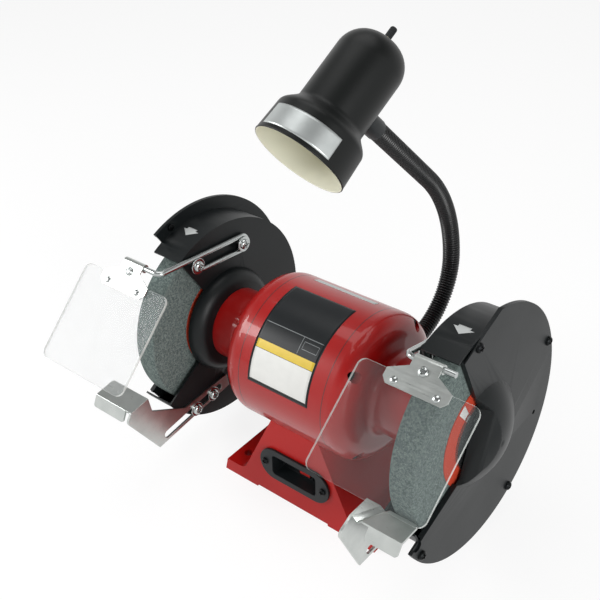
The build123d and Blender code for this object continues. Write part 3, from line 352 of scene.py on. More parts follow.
@dataclass(frozen=True)
class ClearSheet(Finish):
    """Clear polycarbonate: mostly see-through, with a thin grey veil that darkens what lies behind it."""

    colour: str
    alpha: float
    roughness: float = 0.12
    haze_mm: float = 18.0
    sway: float = 0.3
    ior: float = 1.58

    def shade(self, tree: bpy.types.NodeTree, shader: bpy.types.Node) -> None:
        """A broad noise makes the haze a little thicker in patches.

        Args:
            tree: the material's nodes.
            shader: the node that they feed.
        """
        on_piece = {"Vector": (add_node(tree, COORDINATES), "Object")}
        haze = add_node(tree, NOISE, {"Scale": per_metre(self.haze_mm), "Detail": 6.0}, on_piece)
        span = {"To Min": (1 - self.sway) * self.alpha, "To Max": (1 + self.sway) * self.alpha}
        cover = add_node(tree, SPAN, span, {"Value": (haze, "Fac")})
        add_node(
            tree,
            shader,
            {"Base Color": hex_linear(self.colour), "Roughness": self.roughness, "IOR": self.ior},
            {"Alpha": (cover, "Result")},
        )


@dataclass(frozen=True)
class MouldedPlastic(Finish):
    """Injection-moulded plastic: an even colour and a spark-eroded grain.

    Such a grain is about a tenth of a millimetre. It is drawn larger, so that it shows.
    """

    colour: str
    scuffed: str
    roughness: float = 0.45
    ior: float = 1.5
    grain_mm: float = 0.9
    grain_deep_mm: float = 0.03
    scuff_mm: float = 22.5
    smoother: float = 0.06
    rougher: float = 0.08

    def shade(self, tree: bpy.types.NodeTree, shader: bpy.types.Node) -> None:
        """A fine noise is the grain, a broad one the scuffs from handling.

        Args:
            tree: the material's nodes.
            shader: the node that they feed.
        """
        on_piece = {"Vector": (add_node(tree, COORDINATES), "Object")}
        grain = add_node(tree, NOISE, {"Scale": per_metre(self.grain_mm), "Detail": 1.0}, on_piece)
        scuff = add_node(tree, NOISE, {"Scale": per_metre(self.scuff_mm), "Detail": 5.0}, on_piece)
        colours = {"data_type": "RGBA", MIX_A: hex_linear(self.colour), MIX_B: hex_linear(self.scuffed)}
        tone = add_node(tree, MIX, colours, {MIX_FACTOR: (scuff, "Fac")})
        span = {"To Min": self.roughness - self.smoother, "To Max": self.roughness + self.rougher}
        gloss = add_node(tree, SPAN, span, {"Value": (scuff, "Fac")})
        depth = {"Strength": 0.25, "Distance": self.grain_deep_mm * MM}
        bump = add_node(tree, BUMP, depth, {"Height": (grain, "Fac")})
        add_node(
            tree,
            shader,
            {"IOR": self.ior},
            {"Base Color": (tone, MIX_RESULT), "Roughness": (gloss, "Result"), "Normal": (bump, "Normal")},
        )


@dataclass(frozen=True)
class PrintedFilm(Finish):
    """Printed self-adhesive film: flat ink under a thin laminate, with faint waves from the glue."""

    ink: str
    faded: str
    metallic: float = 0.0
    roughness: float = 0.35
    ior: float = 1.5
    wave_mm: float = 9.0
    wave_deep_mm: float = 0.05

    def shade(self, tree: bpy.types.NodeTree, shader: bpy.types.Node) -> None:
        """One broad noise fades the ink in patches and waves the film.

        Args:
            tree: the material's nodes.
            shader: the node that they feed.
        """
        on_piece = {"Vector": (add_node(tree, COORDINATES), "Object")}
        wave = add_node(tree, NOISE, {"Scale": per_metre(self.wave_mm), "Detail": 2.0}, on_piece)
        colours = {"data_type": "RGBA", MIX_A: hex_linear(self.ink), MIX_B: hex_linear(self.faded)}
        tone = add_node(tree, MIX, colours, {MIX_FACTOR: (wave, "Fac")})
        depth = {"Strength": 0.2, "Distance": self.wave_deep_mm * MM}
        bump = add_node(tree, BUMP, depth, {"Height": (wave, "Fac")})
        add_node(
            tree,
            shader,
            {"IOR": self.ior, "Metallic": self.metallic, "Roughness": self.roughness},
            {"Base Color": (tone, MIX_RESULT), "Normal": (bump, "Normal")},
        )


# Red stoved enamel: smooth and bright on rolled sheet, duller over the grain of the casting, and a darker red
# painted as shade in the seams
RED_SHEET = Enamel("red_enamel_on_rolled_steel", "b41310", "a00d0c", ior=1.36)
RED_CASTING = Enamel(
    "red_enamel_on_cast_iron", "c01712", "aa110e", Sheen.SATIN, peel_mm=5.0, peel_deep_mm=0.12, ior=1.33
)
PAINTED_SEAM_SHADE = Enamel("red_enamel_in_the_joint", "5c0b0b", "4a0808")
# Black satin enamel: dark with broad soft highlights, and cream inside the shade to throw the light
GUARD_BLACK = Enamel("black_enamel_on_pressed_steel", "161a1b", "101415", Sheen.SATIN, peel_mm=2.0, ior=1.33)
SHADE_BLACK = Enamel("black_enamel_on_spun_aluminium", "101312", "0b0d0d", Sheen.SATIN, peel_mm=2.5, ior=1.33)
SHADE_CREAM = Enamel("cream_enamel_in_the_shade", "f1f0de", "e9e7d2", Sheen.EGGSHELL)
# Plated and bare metals: zinc is cloudy, nickel is sharp, ground steel is grey, oxide is nearly black
ZINC = Plating("bright_zinc_on_sheet_steel", "d2d5d2", "b2b7b4", roughness=0.30)
BRIGHT_ROD = Plating("nickel_on_drawn_rod", "c9cccb", "a6abaa", roughness=0.20)
GROUND_STEEL = Plating("ground_steel", "a4a6a6", "8a8c8d", roughness=0.28)
BLACK_OXIDE = Plating("black_oxide_on_screws", "2a2c2d", "1d1e1f", roughness=0.38)
LAMINATION = Plating("stacked_electrical_steel", "6c6e70", "5a5c5e", roughness=0.5)
COPPER = Plating("enamelled_copper_wire", "a8562c", "8a4322", roughness=0.35)
PLATED_NUT = Plating("yellow_passivated_zinc", "d8d2b8", "c4ba96", roughness=0.28)
# Grey-green fired grit, and the orange card between it and its flanges
GRIT = VitrifiedGrit("vitrified_aluminium_oxide", "7f8c88", "55615f")
CARD = DyedCard("dyed_blotting_card", "d5421f", "b93517")
# Clear sheet: a faint veil, and a pale finish on the cut edges that is a painted highlight
CLEAR = ClearSheet("clear_polycarbonate", "7f8686", 0.11)
CLEAR_EDGE_HIGHLIGHT = ClearSheet("cut_edge_of_polycarbonate", "e9eeea", 0.62, roughness=0.25)
# Plastics: dull black mouldings, a glossy black sheath, a bright red rocker
BLACK_ABS = MouldedPlastic("black_moulded_abs", "14181a", "1a1f21", ior=1.36)
BLACK_SHEATH = MouldedPlastic("black_vinyl_sheath", "0e0f10", "141516", roughness=0.26, ior=1.4)
RED_ROCKER = MouldedPlastic("red_moulded_nylon", "d22a24", "bb211d", roughness=0.30)
# Films and inks: flat colour with a thin even gloss, and foil that mirrors dimly
PANEL_BLACK = PrintedFilm("black_printed_film", "14171a", "191d1f", ior=1.36)
PANEL_WHITE = PrintedFilm("white_printed_film", "f2f2ee", "e8e8e4")
PANEL_YELLOW = PrintedFilm("yellow_printed_film", "e8c83e", "dcbc34")
PANEL_GREY = PrintedFilm("grey_printed_film", "8b9091", "7c8182")
ARROW_INK = PrintedFilm("pale_printed_ink", "c9cccb", "b4b8b7", roughness=0.5)
FOIL = PrintedFilm("silver_foil_film", "c3c7c6", "adb2b1", metallic=0.75, roughness=0.36)


def unit(vector: Array) -> Array:
    """The vector made one long."""
    return np.asarray(vector, float) / np.linalg.norm(vector)


def around(axis: Array, turn: Array) -> Array:
    """Unit vectors square to an axis: first cos(turn) + second sin(turn), which are square to each other.

    Args:
        axis: the axis, one long.
        turn: angles about it, in radians.

    Returns:
        One vector an angle.
    """
    helper = np.array((0.0, 0.0, 1.0)) if abs(axis[2]) < 0.9 else ALONG_X
    first = unit(np.cross(axis, helper))
    return first * np.cos(turn)[..., None] + np.cross(axis, first) * np.sin(turn)[..., None]


def full_turn(count: int) -> Array:
    """Evenly spread angles of one turn, in radians."""
    return np.linspace(0, 2 * pi, count, endpoint=False)


def on_drum(radius: float | Array, height: float, x: float | Array, turn: Array) -> Array:
    """Points about an axis along X: (x, -radius cos(turn), height + radius sin(turn)).

    Args:
        radius: distance from the axis.
        height: height of the axis.
        x: place along the axis.
        turn: angle from the front, upwards, in radians.

    Returns:
        A grid of points.
    """
    radius, x, turn = np.broadcast_arrays(radius, x, turn)
    return np.stack((x, -radius * np.cos(turn), height + radius * np.sin(turn)), -1)


def grid_faces(rows: int, cols: int, wrap_rows: bool, wrap_cols: bool) -> Array:
    """Quads of a grid of points: each joins a point to its next row and next column.

    Args:
        rows: number of rows.
        cols: number of columns.
        wrap_rows: whether the last row joins the first.
        wrap_cols: whether the last column joins the first.

    Returns:
        An array of four point numbers a face.
    """
    i, j = np.meshgrid(
        np.arange(rows if wrap_rows else rows - 1), np.arange(cols if wrap_cols else cols - 1), indexing="ij"
    )
    i2, j2 = (i + 1) % rows, (j + 1) % cols
    quads = np.stack((i * cols + j, i2 * cols + j, i2 * cols + j2, i * cols + j2), -1)
    return quads.reshape(-1, 4)


@dataclass(frozen=True)
class Surface:
    """A grid of points in millimetres, with which of its ends join up."""

    points: Array
    wrap_rows: bool = False
    wrap_cols: bool = False

    def faces(self) -> Array:
        """The grid's quads."""
        return grid_faces(*self.points.shape[:2], self.wrap_rows, self.wrap_cols)


def revolved(profile: Array, origin: Array, axis: Array, count: int = 96, closed: bool = True) -> Surface:
    """Turns a profile about an axis: origin + axis * along + radius * (vectors around the axis).

    Args:
        profile: pairs of place along the axis and radius.
        origin: start of the axis.
        axis: its direction.
        count: steps in the turn.
        closed: whether the profile is a loop.

    Returns:
        The surface, one row a step.
    """
    axis = unit(axis)
    ring = around(axis, full_turn(count))[:, None]
    points = np.asarray(origin) + axis * profile[:, :1] + ring * profile[:, 1:]
    return Surface(points, wrap_rows=True, wrap_cols=closed)


def rounded(corners: list[Triple], steps: int = 4) -> Array:
    """A closed outline whose corners are rounded by quadratic curves.

    Args:
        corners: for each corner its two coordinates and how far from it the curve starts.
        steps: points a corner.

    Returns:
        The outline's points.
    """
    at = np.array(corners, float)
    point, reach = at[:, :2], at[:, 2:]
    before, after = np.roll(point, 1, 0), np.roll(point, -1, 0)
    start = point + (before - point) / np.linalg.norm(before - point, axis=1, keepdims=True) * reach
    end = point + (after - point) / np.linalg.norm(after - point, axis=1, keepdims=True) * reach
    t = np.linspace(0, 1, steps)[None, :, None]
    curve = (1 - t) ** 2 * start[:, None] + 2 * t * (1 - t) * point[:, None] + t**2 * end[:, None]
    return curve.reshape(-1, 2)


def pan_head(centre: Array, normal: Array, radius: float, height: float) -> Surface:
    """A pan head with a cross recess: height * (1 - r^4)^0.5, less the cross where x or y is small.

    Args:
        centre: middle of the head's underside.
        normal: direction out of the surface.
        radius: radius of the head.
        height: height of the head.

    Returns:
        The head, closed underneath.
    """
    normal = unit(normal)
    arm_half, arm_slope = 0.17, 0.05
    arm_reach, end_slope = 0.66, 0.08
    recess = 0.6 * height
    r = np.concatenate((np.linspace(0, 0.7, 15), np.linspace(0.76, 1.0, 7)))[:, None]
    a = full_turn(40)[None, :]
    arm = r * np.minimum(np.abs(np.cos(a)), np.abs(np.sin(a)))
    slot = np.clip((arm_half - arm) / arm_slope, 0, 1) * np.clip((arm_reach - r) / end_slope, 0, 1)
    z = height * np.sqrt(np.clip(1 - r**4, 0, 1)) - recess * slot
    under = np.zeros_like(a)
    out = np.vstack((r + under, under)) * radius
    z = np.vstack((z, under))
    return Surface(centre + around(normal, a) * out[..., None] + normal * z[..., None], wrap_cols=True)


def hex_head(centre: Array, normal: Array, flats: float, height: float, bore: float = 0.0) -> Surface:
    """A hexagon with chamfered corners: radius flats / 2 / cos of the angle from the middle of a flat.

    Args:
        centre: middle of the underside.
        normal: direction out of the surface.
        flats: size across the flats.
        height: height of the head.
        bore: radius of a hole through it.

    Returns:
        The head, closed.
    """
    normal = unit(normal)
    chamfer_slope = 0.58
    a = full_turn(72)
    edge = flats / 2 / np.cos((a + pi / 6) % (pi / 3) - pi / 6)
    crown = np.full_like(a, 0.94 * flats / 2)
    hole = np.full_like(a, bore)
    drop = (edge - crown) * chamfer_slope
    radius = np.stack((hole, edge, edge, crown, hole))
    z = np.stack((0 * a, 0 * a, height - drop, 0 * a + height, 0 * a + height))
    points = centre + around(normal, a)[None] * radius[..., None] + normal * z[..., None]
    return Surface(points, wrap_rows=bore > 0, wrap_cols=True)


def washer(centre: Array, normal: Array, radius: float, bore: float, height: float) -> Surface:
    """A flat ring with rounded rims, turned about its normal.

    Args:
        centre: middle of the underside.
        normal: direction out of the surface.
        radius: outer radius.
        bore: inner radius.
        height: thickness.

    Returns:
        The ring, closed.
    """
    soft = 0.25 * height
    outline = rounded([(0, bore, soft), (0, radius, soft), (height, radius, soft), (height, bore, soft)])
    return revolved(outline, centre, normal, 64)


@dataclass
class Assembly:
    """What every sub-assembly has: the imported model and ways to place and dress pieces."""

    frame: dict

    def node_body(self, node: str) -> str:
        """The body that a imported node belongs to."""
        groups = self.frame["record"]["behaviour"]["bodies"]
        return next(body for body, members in groups.items() if node in members)

    def node_slot(self, node: str) -> str:
        """The record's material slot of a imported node."""
        return next(row["material_slot"] for row in self.frame["record"]["subparts"] if row["node"] == node)

    def joint(self, name: str) -> dict:
        """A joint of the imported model."""
        return next(row for row in self.frame["joints"] if row["name"] == name)

    def pivot(self, name: str) -> Array:
        """A joint's place in millimetres."""
        return np.array(self.joint(name)["pos_m"]) / MM

    def box(self, node: str) -> tuple[Array, Array]:
        """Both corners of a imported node's box in millimetres."""
        low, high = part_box(node)
        return np.array(low) / MM, np.array(high) / MM

    def dress(self, node: str, finish: Finish) -> None:
        """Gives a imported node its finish.

        Args:
            node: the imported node.
            finish: its finish.
        """
        materials = self.frame["nodes"][node].data.materials
        materials.clear()
        materials.append(finish.material())
        log.info("dressed %s", node)

    def new_object(self, name: str, mesh: bpy.types.Mesh, finishes: list[Finish]) -> bpy.types.Object:
        """Links a mesh into the scene with its finishes.

        Args:
            name: the piece's name.
            mesh: its mesh.
            finishes: its finishes.

        Returns:
            The new object.
        """
        piece = bpy.data.objects.new(name, mesh)
        bpy.context.scene.collection.objects.link(piece)
        for finish in finishes:
            mesh.materials.append(finish.material())
        return piece

    def build(
        self,
        name: str,
        surfaces: list[Surface],
        finishes: list[Finish],
        paint: Array | None = None,
        sharp: float = 40.0,
    ) -> bpy.types.Object:
        """Makes one piece from surfaces, with its seams and poles merged and its faces outwards.

        Args:
            name: the piece's name.
            surfaces: its surfaces.
            finishes: its finishes.
            paint: for each face, the number of its finish.
            sharp: angle in degrees from which an edge stays sharp.

        Returns:
            The new object.
        """
        points = [s.points.reshape(-1, 3) for s in surfaces]
        starts = np.cumsum([0] + [len(p) for p in points[:-1]])
        faces = np.concatenate([s.faces() + start for s, start in zip(surfaces, starts)])
        mesh = bpy.data.meshes.new(name)
        mesh.from_pydata((np.concatenate(points) * MM).tolist(), [], faces.tolist())
        if paint is not None:
            mesh.polygons.foreach_set("material_index", paint.astype(np.int32))
        shape = bmesh.new()
        shape.from_mesh(mesh)
        bmesh.ops.remove_doubles(shape, verts=shape.verts, dist=MERGE_M)
        bmesh.ops.dissolve_degenerate(shape, edges=shape.edges, dist=MERGE_M)
        bmesh.ops.recalc_face_normals(shape, faces=shape.faces)
        shape.to_mesh(mesh)
        shape.free()
        mesh.shade_smooth()
        mesh.set_sharp_from_angle(angle=radians(sharp))
        return self.new_object(name, mesh, finishes)

    def plate(self, name: str, points: Array, thick: float, finish: Finish) -> bpy.types.Object:
        """A thin plate on a grid of points that grows outwards by its thickness.

        Args:
            name: the piece's name.
            points: the grid.
            thick: the thickness.
            finish: its finish.

        Returns:
            The new object.
        """
        mesh = bpy.data.meshes.new(name)
        faces = grid_faces(*points.shape[:2], False, False)
        mesh.from_pydata((points.reshape(-1, 3) * MM).tolist(), [], faces.tolist())
        mesh.shade_smooth()
        piece = self.new_object(name, mesh, [finish])
        wall = piece.modifiers.new("thickness", "SOLIDIFY")
        wall.thickness = thick * MM
        wall.offset = 1.0
        return piece

    def hand_in(self, piece: bpy.types.Object, body: str, slot: str, *stands_for: str) -> bpy.types.Object:
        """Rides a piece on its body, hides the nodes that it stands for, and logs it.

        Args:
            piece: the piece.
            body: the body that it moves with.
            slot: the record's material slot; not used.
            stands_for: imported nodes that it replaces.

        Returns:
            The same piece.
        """
        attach(piece, body)
        if stands_for:
            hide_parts(*stands_for)
        log.info("piece %s on %s", piece.name, body)
        return piece

    def soften(
        self, node: str, finishes: list[Finish], width: float, segments: int = 2
    ) -> bpy.types.Object:
        """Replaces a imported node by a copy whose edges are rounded.

        Args:
            node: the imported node.
            finishes: the copy's finishes.
            width: width of the rounding.
            segments: faces across the rounding.

        Returns:
            The copy, riding on the node's body.
        """
        flat, sharp = radians(0.4), radians(35)
        shape = bmesh.new()
        shape.from_mesh(self.frame["nodes"][node].data)
        bmesh.ops.remove_doubles(shape, verts=shape.verts, dist=5 * MERGE_M)
        bmesh.ops.dissolve_limit(
            shape, angle_limit=flat, use_dissolve_boundaries=False, verts=shape.verts, edges=shape.edges
        )
        mesh = bpy.data.meshes.new(f"{node}_soft")
        shape.to_mesh(mesh)
        shape.free()
        mesh.shade_smooth()
        mesh.set_sharp_from_angle(angle=sharp)
        piece = self.new_object(f"{node}_soft", mesh, finishes)
        edge = piece.modifiers.new("edge", "BEVEL")
        edge.width = width * MM
        edge.segments = segments
        edge.limit_method = "ANGLE"
        edge.angle_limit = sharp
        edge.use_clamp_overlap = True
        edge.harden_normals = True
        return self.hand_in(piece, self.node_body(node), self.node_slot(node), node)


@dataclass
class Pedestal(Assembly):
    """Cast pedestal with its switch in the front wall and a cable entry in the rear wall."""

    front_lean: float = 4.36
    screw_reach: float = 38.5
    head_radius: float = 3.84
    head_height: float = 2.4

    def make(self) -> None:
        """Softens the casting and the switch, and gives the plate its screws."""
        self.soften("base", [RED_CASTING], 1.6, 3)
        self.soften("switch_plate", [BLACK_ABS], 0.6)
        self.soften("switch_body", [BLACK_ABS], 0.4)
        self.soften("rocker", [RED_ROCKER], 0.6)
        self.soften("cord_gland", [BLACK_ABS], 0.6)
        self.dress("base_lid", GUARD_BLACK)
        self.make_screws()

    def make_screws(self) -> None:
        """Two cross-recess heads on the plate's face, which leans as the front wall does."""
        low, high = self.box("plate_screws")
        lean = radians(self.front_lean)
        normal = np.array((0.0, -cos(lean), sin(lean)))
        face = np.array((0.0, low[1], (low[2] + high[2]) / 2)) - normal * self.head_height
        heads = [
            pan_head(face + (side.value * self.screw_reach, 0, 0), normal, self.head_radius, self.head_height)
            for side in Side
        ]
        piece = self.build("plate_screw_heads", heads, [BLACK_OXIDE])
        self.hand_in(piece, "stand", "black_oxide", "plate_screws")


@dataclass
class Motor(Assembly):
    """Rolled shell between two cast bells, with a blank panel on its front and a strip on its top."""

    panel_x: Pair = (-39.5, 36.0)
    panel_angle: Pair = (9.0, 93.0)
    strip_x: Pair = (-37.0, 38.5)
    strip_angle: Pair = (112.0, 118.0)
    border: float = 2.5
    film: float = 0.12
    seam_wide: float = 0.9
    seam_proud: float = 0.05
    seam_deep: float = 0.5
    ground_lift: float = 0.03
    ink_lift: float = 0.13
    top_lift: float = 0.16

    def make(self) -> None:
        """Dresses the housing and adds its seams, panel and strip."""
        low, high = self.box("end_bell_left")
        self.height = (low[2] + high[2]) / 2
        self.radius = (high[2] - low[2]) / 2
        for node, finish in (
            ("motor_shell", RED_SHEET),
            ("end_bell_left", RED_SHEET),
            ("end_bell_right", RED_SHEET),
            ("tie_bolts", BLACK_OXIDE),
            ("stator_core", LAMINATION),
            ("stator_winding", COPPER),
            ("rotor_core", LAMINATION),
            ("bearing_outers", GROUND_STEEL),
            ("bearing_inners", GROUND_STEEL),
            ("shaft", GROUND_STEEL),
            ("lamp_mount", BLACK_ABS),
        ):
            self.dress(node, finish)
        self.make_seams()
        self.make_panel()

    def make_seams(self) -> None:
        """A shallow ring where each bell meets the shell, painted dark red as the shade in the joint, a small
        outline turned about the shaft.
        """
        seam_x = self.box("motor_shell")[1][0]
        half, top, foot = self.seam_wide / 2, self.radius + self.seam_proud, self.radius - self.seam_deep
        outline = np.array(((-half, foot), (-half, top), (half, top), (half, foot)))
        rings = [
            revolved(outline, np.array((side.value * seam_x, 0, self.height)), ALONG_X, 160) for side in Side
        ]
        # The rings' dark red is painted shade in the joint
        piece = self.build("bell_seams", rings, [PAINTED_SEAM_SHADE])
        self.hand_in(piece, "stand", "red_enamel")

    def patch(self, name: str, x: Pair, angle: Pair, lift: float, finish: Finish) -> None:
        """One film on the shell, a patch of a cylinder about the shaft.

        Args:
            name: the film's name.
            x: both ends along the shell.
            angle: both ends round it, in degrees from the front, upwards.
            lift: height of its underside over the shell.
            finish: its finish.
        """
        along, turn = np.linspace(*x, 24)[:, None], np.radians(np.linspace(*angle, 60))[None, :]
        grid = on_drum(self.radius + lift, self.height, along, turn)
        self.hand_in(self.plate(name, grid, self.film, finish), "stand", "black_plastic")

    def make_panel(self) -> None:
        """The panel: dark ground, plain white block, yellow bar, rule, divider and an empty box."""
        x0, x1 = self.panel_x
        a0 = self.panel_angle[0]
        inside = (x0 + self.border, x1 - self.border)
        self.patch("panel_ground", self.panel_x, self.panel_angle, self.ground_lift, PANEL_BLACK)
        for name, x, angle, lift, finish in (
            ("panel_block", inside, (3, 27), self.ink_lift, PANEL_WHITE),
            ("panel_bar", inside, (27.3, 33.5), self.ink_lift, PANEL_YELLOW),
            ("panel_rule", inside, (47.2, 47.7), self.ink_lift, PANEL_GREY),
            ("panel_divider", (x1 - 26.0, x1 - 25.5), (34.5, 47.2), self.ink_lift, PANEL_GREY),
            ("panel_box", (x1 - 23.0, x1 - 5.0), (38.5, 44.5), self.ink_lift, PANEL_GREY),
            ("panel_box_inside", (x1 - 22.5, x1 - 5.5), (38.9, 44.1), self.top_lift, PANEL_BLACK),
        ):
            self.patch(name, x, (a0 + angle[0], a0 + angle[1]), lift, finish)
        self.patch("top_strip", self.strip_x, self.strip_angle, self.ground_lift, FOIL)


@dataclass
class Guard(Assembly):
    """Pressed drum and domed cover of one side, with what is bolted to them."""

    side: Side = Side.LEFT
    turn: float = 0.0
    arrow_angle: float = 80.0
    height: float = 150.0
    drum_radius: float = 113.5
    plate_x: float = 139.5
    cover_face: float = 179.3
    opening_middle: float = 15.5
    tab_angle: float = 60.0
    tab_ring: float = 107.0
    screw_ring: float = 121.0
    screw_angles: Triple = (140.0, 220.0, 300.0)
    screw_radius: float = 4.8
    screw_height: float = 3.4
    arrow_x: float = 159.0
    arrow_long: float = 11.6
    arrow_wide: float = 20.9
    arrow_head: float = 0.73
    arrow_stem: float = 0.296
    ink_lift: float = 0.05
    ink_thick: float = 0.1

    def make(self) -> None:
        """Softens drum and cover and marks the direction of rotation."""
        self.soften(f"guard_drum_{self.side.tag}", [GUARD_BLACK], 0.8)
        self.soften(f"guard_cover_{self.side.tag}", [GUARD_BLACK], 0.7)
        self.make_arrow()

    def make_arrow(self) -> None:
        """An arrow on the band: its half width grows evenly from tip to head, then is the stem's."""
        t = np.concatenate((np.linspace(0, self.arrow_head, 5), np.linspace(self.arrow_head + 0.001, 1, 3)))
        half = np.where(t <= self.arrow_head, 0.5 * t / self.arrow_head, self.arrow_stem)
        x = self.side.value * self.arrow_x + self.arrow_wide * half[:, None] * np.linspace(-1, 1, 9)[None, :]
        turn = np.radians(self.arrow_angle) + (t - 0.5)[:, None] * self.arrow_long / self.drum_radius
        grid = on_drum(self.drum_radius + self.ink_lift, self.height, x, turn)
        piece = self.plate(f"turn_arrow_{self.side.tag}", grid, self.ink_thick, ARROW_INK)
        self.hand_in(piece, "stand", "black_enamel")

    def screw_spots(self) -> list[Array]:
        """Middles of the cover screws on the cover's face.

        Returns:
            The screw in the tab, then those round the cover.
        """
        rings = [(self.tab_ring, self.tab_angle)] + [(self.screw_ring, a) for a in self.screw_angles]
        sign = self.side.value
        turns = [radians(self.turn + self.opening_middle + sign * angle) for _, angle in rings]
        return [
            on_drum(ring, self.height, sign * self.cover_face, turn)
            for (ring, _), turn in zip(rings, turns)
        ]

    def line(self, point: Pair, angle: float) -> tuple[Array, Array]:
        """A line on the drum's plate, which turns with the guard.

        Args:
            point: its start, to the front of the shaft and over it.
            angle: its direction in degrees from the front, upwards.

        Returns:
            Its start and its direction.
        """
        t, a = radians(self.turn), radians(self.turn + angle)
        u, v = point
        start = np.array((0.0, -u * cos(t) + v * sin(t), self.height + u * sin(t) + v * cos(t)))
        return start, np.array((0.0, -cos(a), sin(a)))


@dataclass(frozen=True)
class BoltPair:
    """Two bolts on a guard's plate: the first, the way and distance to the second, and their washers."""

    node: str
    point: Pair
    angle: float
    pitch: float
    washer_x: float
    washer_radius: float


@dataclass
class Fasteners(Assembly):
    """Screws and bolts of both guards."""

    guards: tuple[Guard, ...] = ()
    pairs: tuple[BoltPair, ...] = (
        BoltPair("rest_bolts", (39.8, -78.8), -7.0, 26.7, 136.8, 8.1),
        BoltPair("arm_bolts", (-29.5, 81.2), 6.46, 67.3, 133.4, 8.6),
    )
    sheet: float = 2.0
    tail_flats: float = 7.0
    tail_height: float = 2.4
    bolt_radius: float = 3.0
    bolt_past: float = 5.4
    washer_thick: float = 1.5
    head_radius: float = 5.7
    head_height: float = 3.4
    nut_flats: float = 10.0
    nut_height: float = 3.4

    def make(self) -> None:
        """Makes the heads, washers and nuts of each group of screws as one piece."""
        screws = []
        for guard in self.guards:
            out = guard.side.value * ALONG_X
            spots = guard.screw_spots()
            screws += [pan_head(spot, out, guard.screw_radius, guard.screw_height) for spot in spots]
            tails = [spot - out * 2 * self.sheet for spot in spots[1:]]
            screws += [hex_head(spot, -out, self.tail_flats, self.tail_height) for spot in tails]
        piece = self.build("cover_screw_heads", screws, [BLACK_OXIDE])
        self.hand_in(piece, "stand", "black_oxide", "cover_screws")
        for pair in self.pairs:
            self.make_bolts(pair)

    def make_bolts(self, pair: BoltPair) -> None:
        """Two bolts a guard along a line: shank, washer, head towards the motor and nut in the drum.

        Args:
            pair: what the two of them share.
        """
        surfaces = []
        for guard in self.guards:
            inwards = -guard.side.value * ALONG_X
            start, ahead = guard.line(pair.point, pair.angle)
            for place in (start, start + ahead * pair.pitch):
                seat = place - inwards * pair.washer_x
                head = seat + inwards * self.washer_thick
                nut = place - inwards * (guard.plate_x + self.sheet)
                tail = guard.plate_x + self.bolt_past - pair.washer_x
                shank = np.array(((-tail, 0.0), (-tail, self.bolt_radius), (1, self.bolt_radius), (1, 0.0)))
                surfaces += [
                    washer(seat, inwards, pair.washer_radius, self.bolt_radius, self.washer_thick),
                    pan_head(head, inwards, self.head_radius, self.head_height),
                    hex_head(nut, -inwards, self.nut_flats, self.nut_height, self.bolt_radius),
                    revolved(shank, seat, inwards, 32, closed=False),
                ]
        piece = self.build(f"{pair.node}_detailed", surfaces, [BRIGHT_ROD])
        self.hand_in(piece, "stand", "zinc", pair.node)


@dataclass
class Spindle(Assembly):
    """Wheels with worn corners, their blotters and what clamps them."""

    bore: float = 7.99
    corner: float = 1.6
    bore_corner: float = 0.3
    tag_lift: float = 0.85
    tag_thick: float = 0.1
    tag_radius: Pair = (38.0, 53.0)
    tag_angle: Pair = (64.0, 53.0)

    def make(self) -> None:
        """Makes both wheels and dresses the rest."""
        for side in Side:
            self.make_wheel(side)
        self.dress("blotters", CARD)
        self.dress("wheel_flanges", GROUND_STEEL)
        self.dress("arbor_nuts", GROUND_STEEL)
        self.make_tag()

    def make_wheel(self, side: Side) -> None:
        """A turned outline: bore, flat sides, and a rim whose corners are worn round.

        Args:
            side: the wheel's side.
        """
        node = f"wheel_{side.tag}"
        low, high = self.box(node)
        width, radius = high[0] - low[0], (high[2] - low[2]) / 2
        inner, outer = (self.bore, self.bore_corner), (radius, self.corner)
        outline = rounded([(0, *inner), (0, *outer), (width, *outer), (width, *inner)], 6)
        origin = np.array((low[0], 0.0, (low[2] + high[2]) / 2))
        piece = self.build(f"{node}_stone", [revolved(outline, origin, ALONG_X, 180)], [GRIT])
        self.hand_in(piece, "spindle", "abrasive", node)

    def make_tag(self) -> None:
        """A blank paper tag on the right wheel's outer blotter, part of a flat ring about the shaft."""
        face = self.box("wheel_right")[1][0] + self.tag_lift
        radius = np.linspace(*self.tag_radius, 8)[:, None]
        turn = np.radians(np.linspace(*self.tag_angle, 12))[None, :]
        grid = on_drum(radius, self.pivot("spindle_spin")[2], face, turn)
        self.hand_in(self.plate("blank_tag", grid, self.tag_thick, PANEL_WHITE), "spindle", "blotter_card")


@dataclass
class WorkRest(Assembly):
    """Bent-sheet tool rest of one side."""

    side: Side = Side.LEFT

    def make(self) -> None:
        """Softens the sheet's edges and bends."""
        self.soften(f"tool_rest_{self.side.tag}", [ZINC], 0.7)


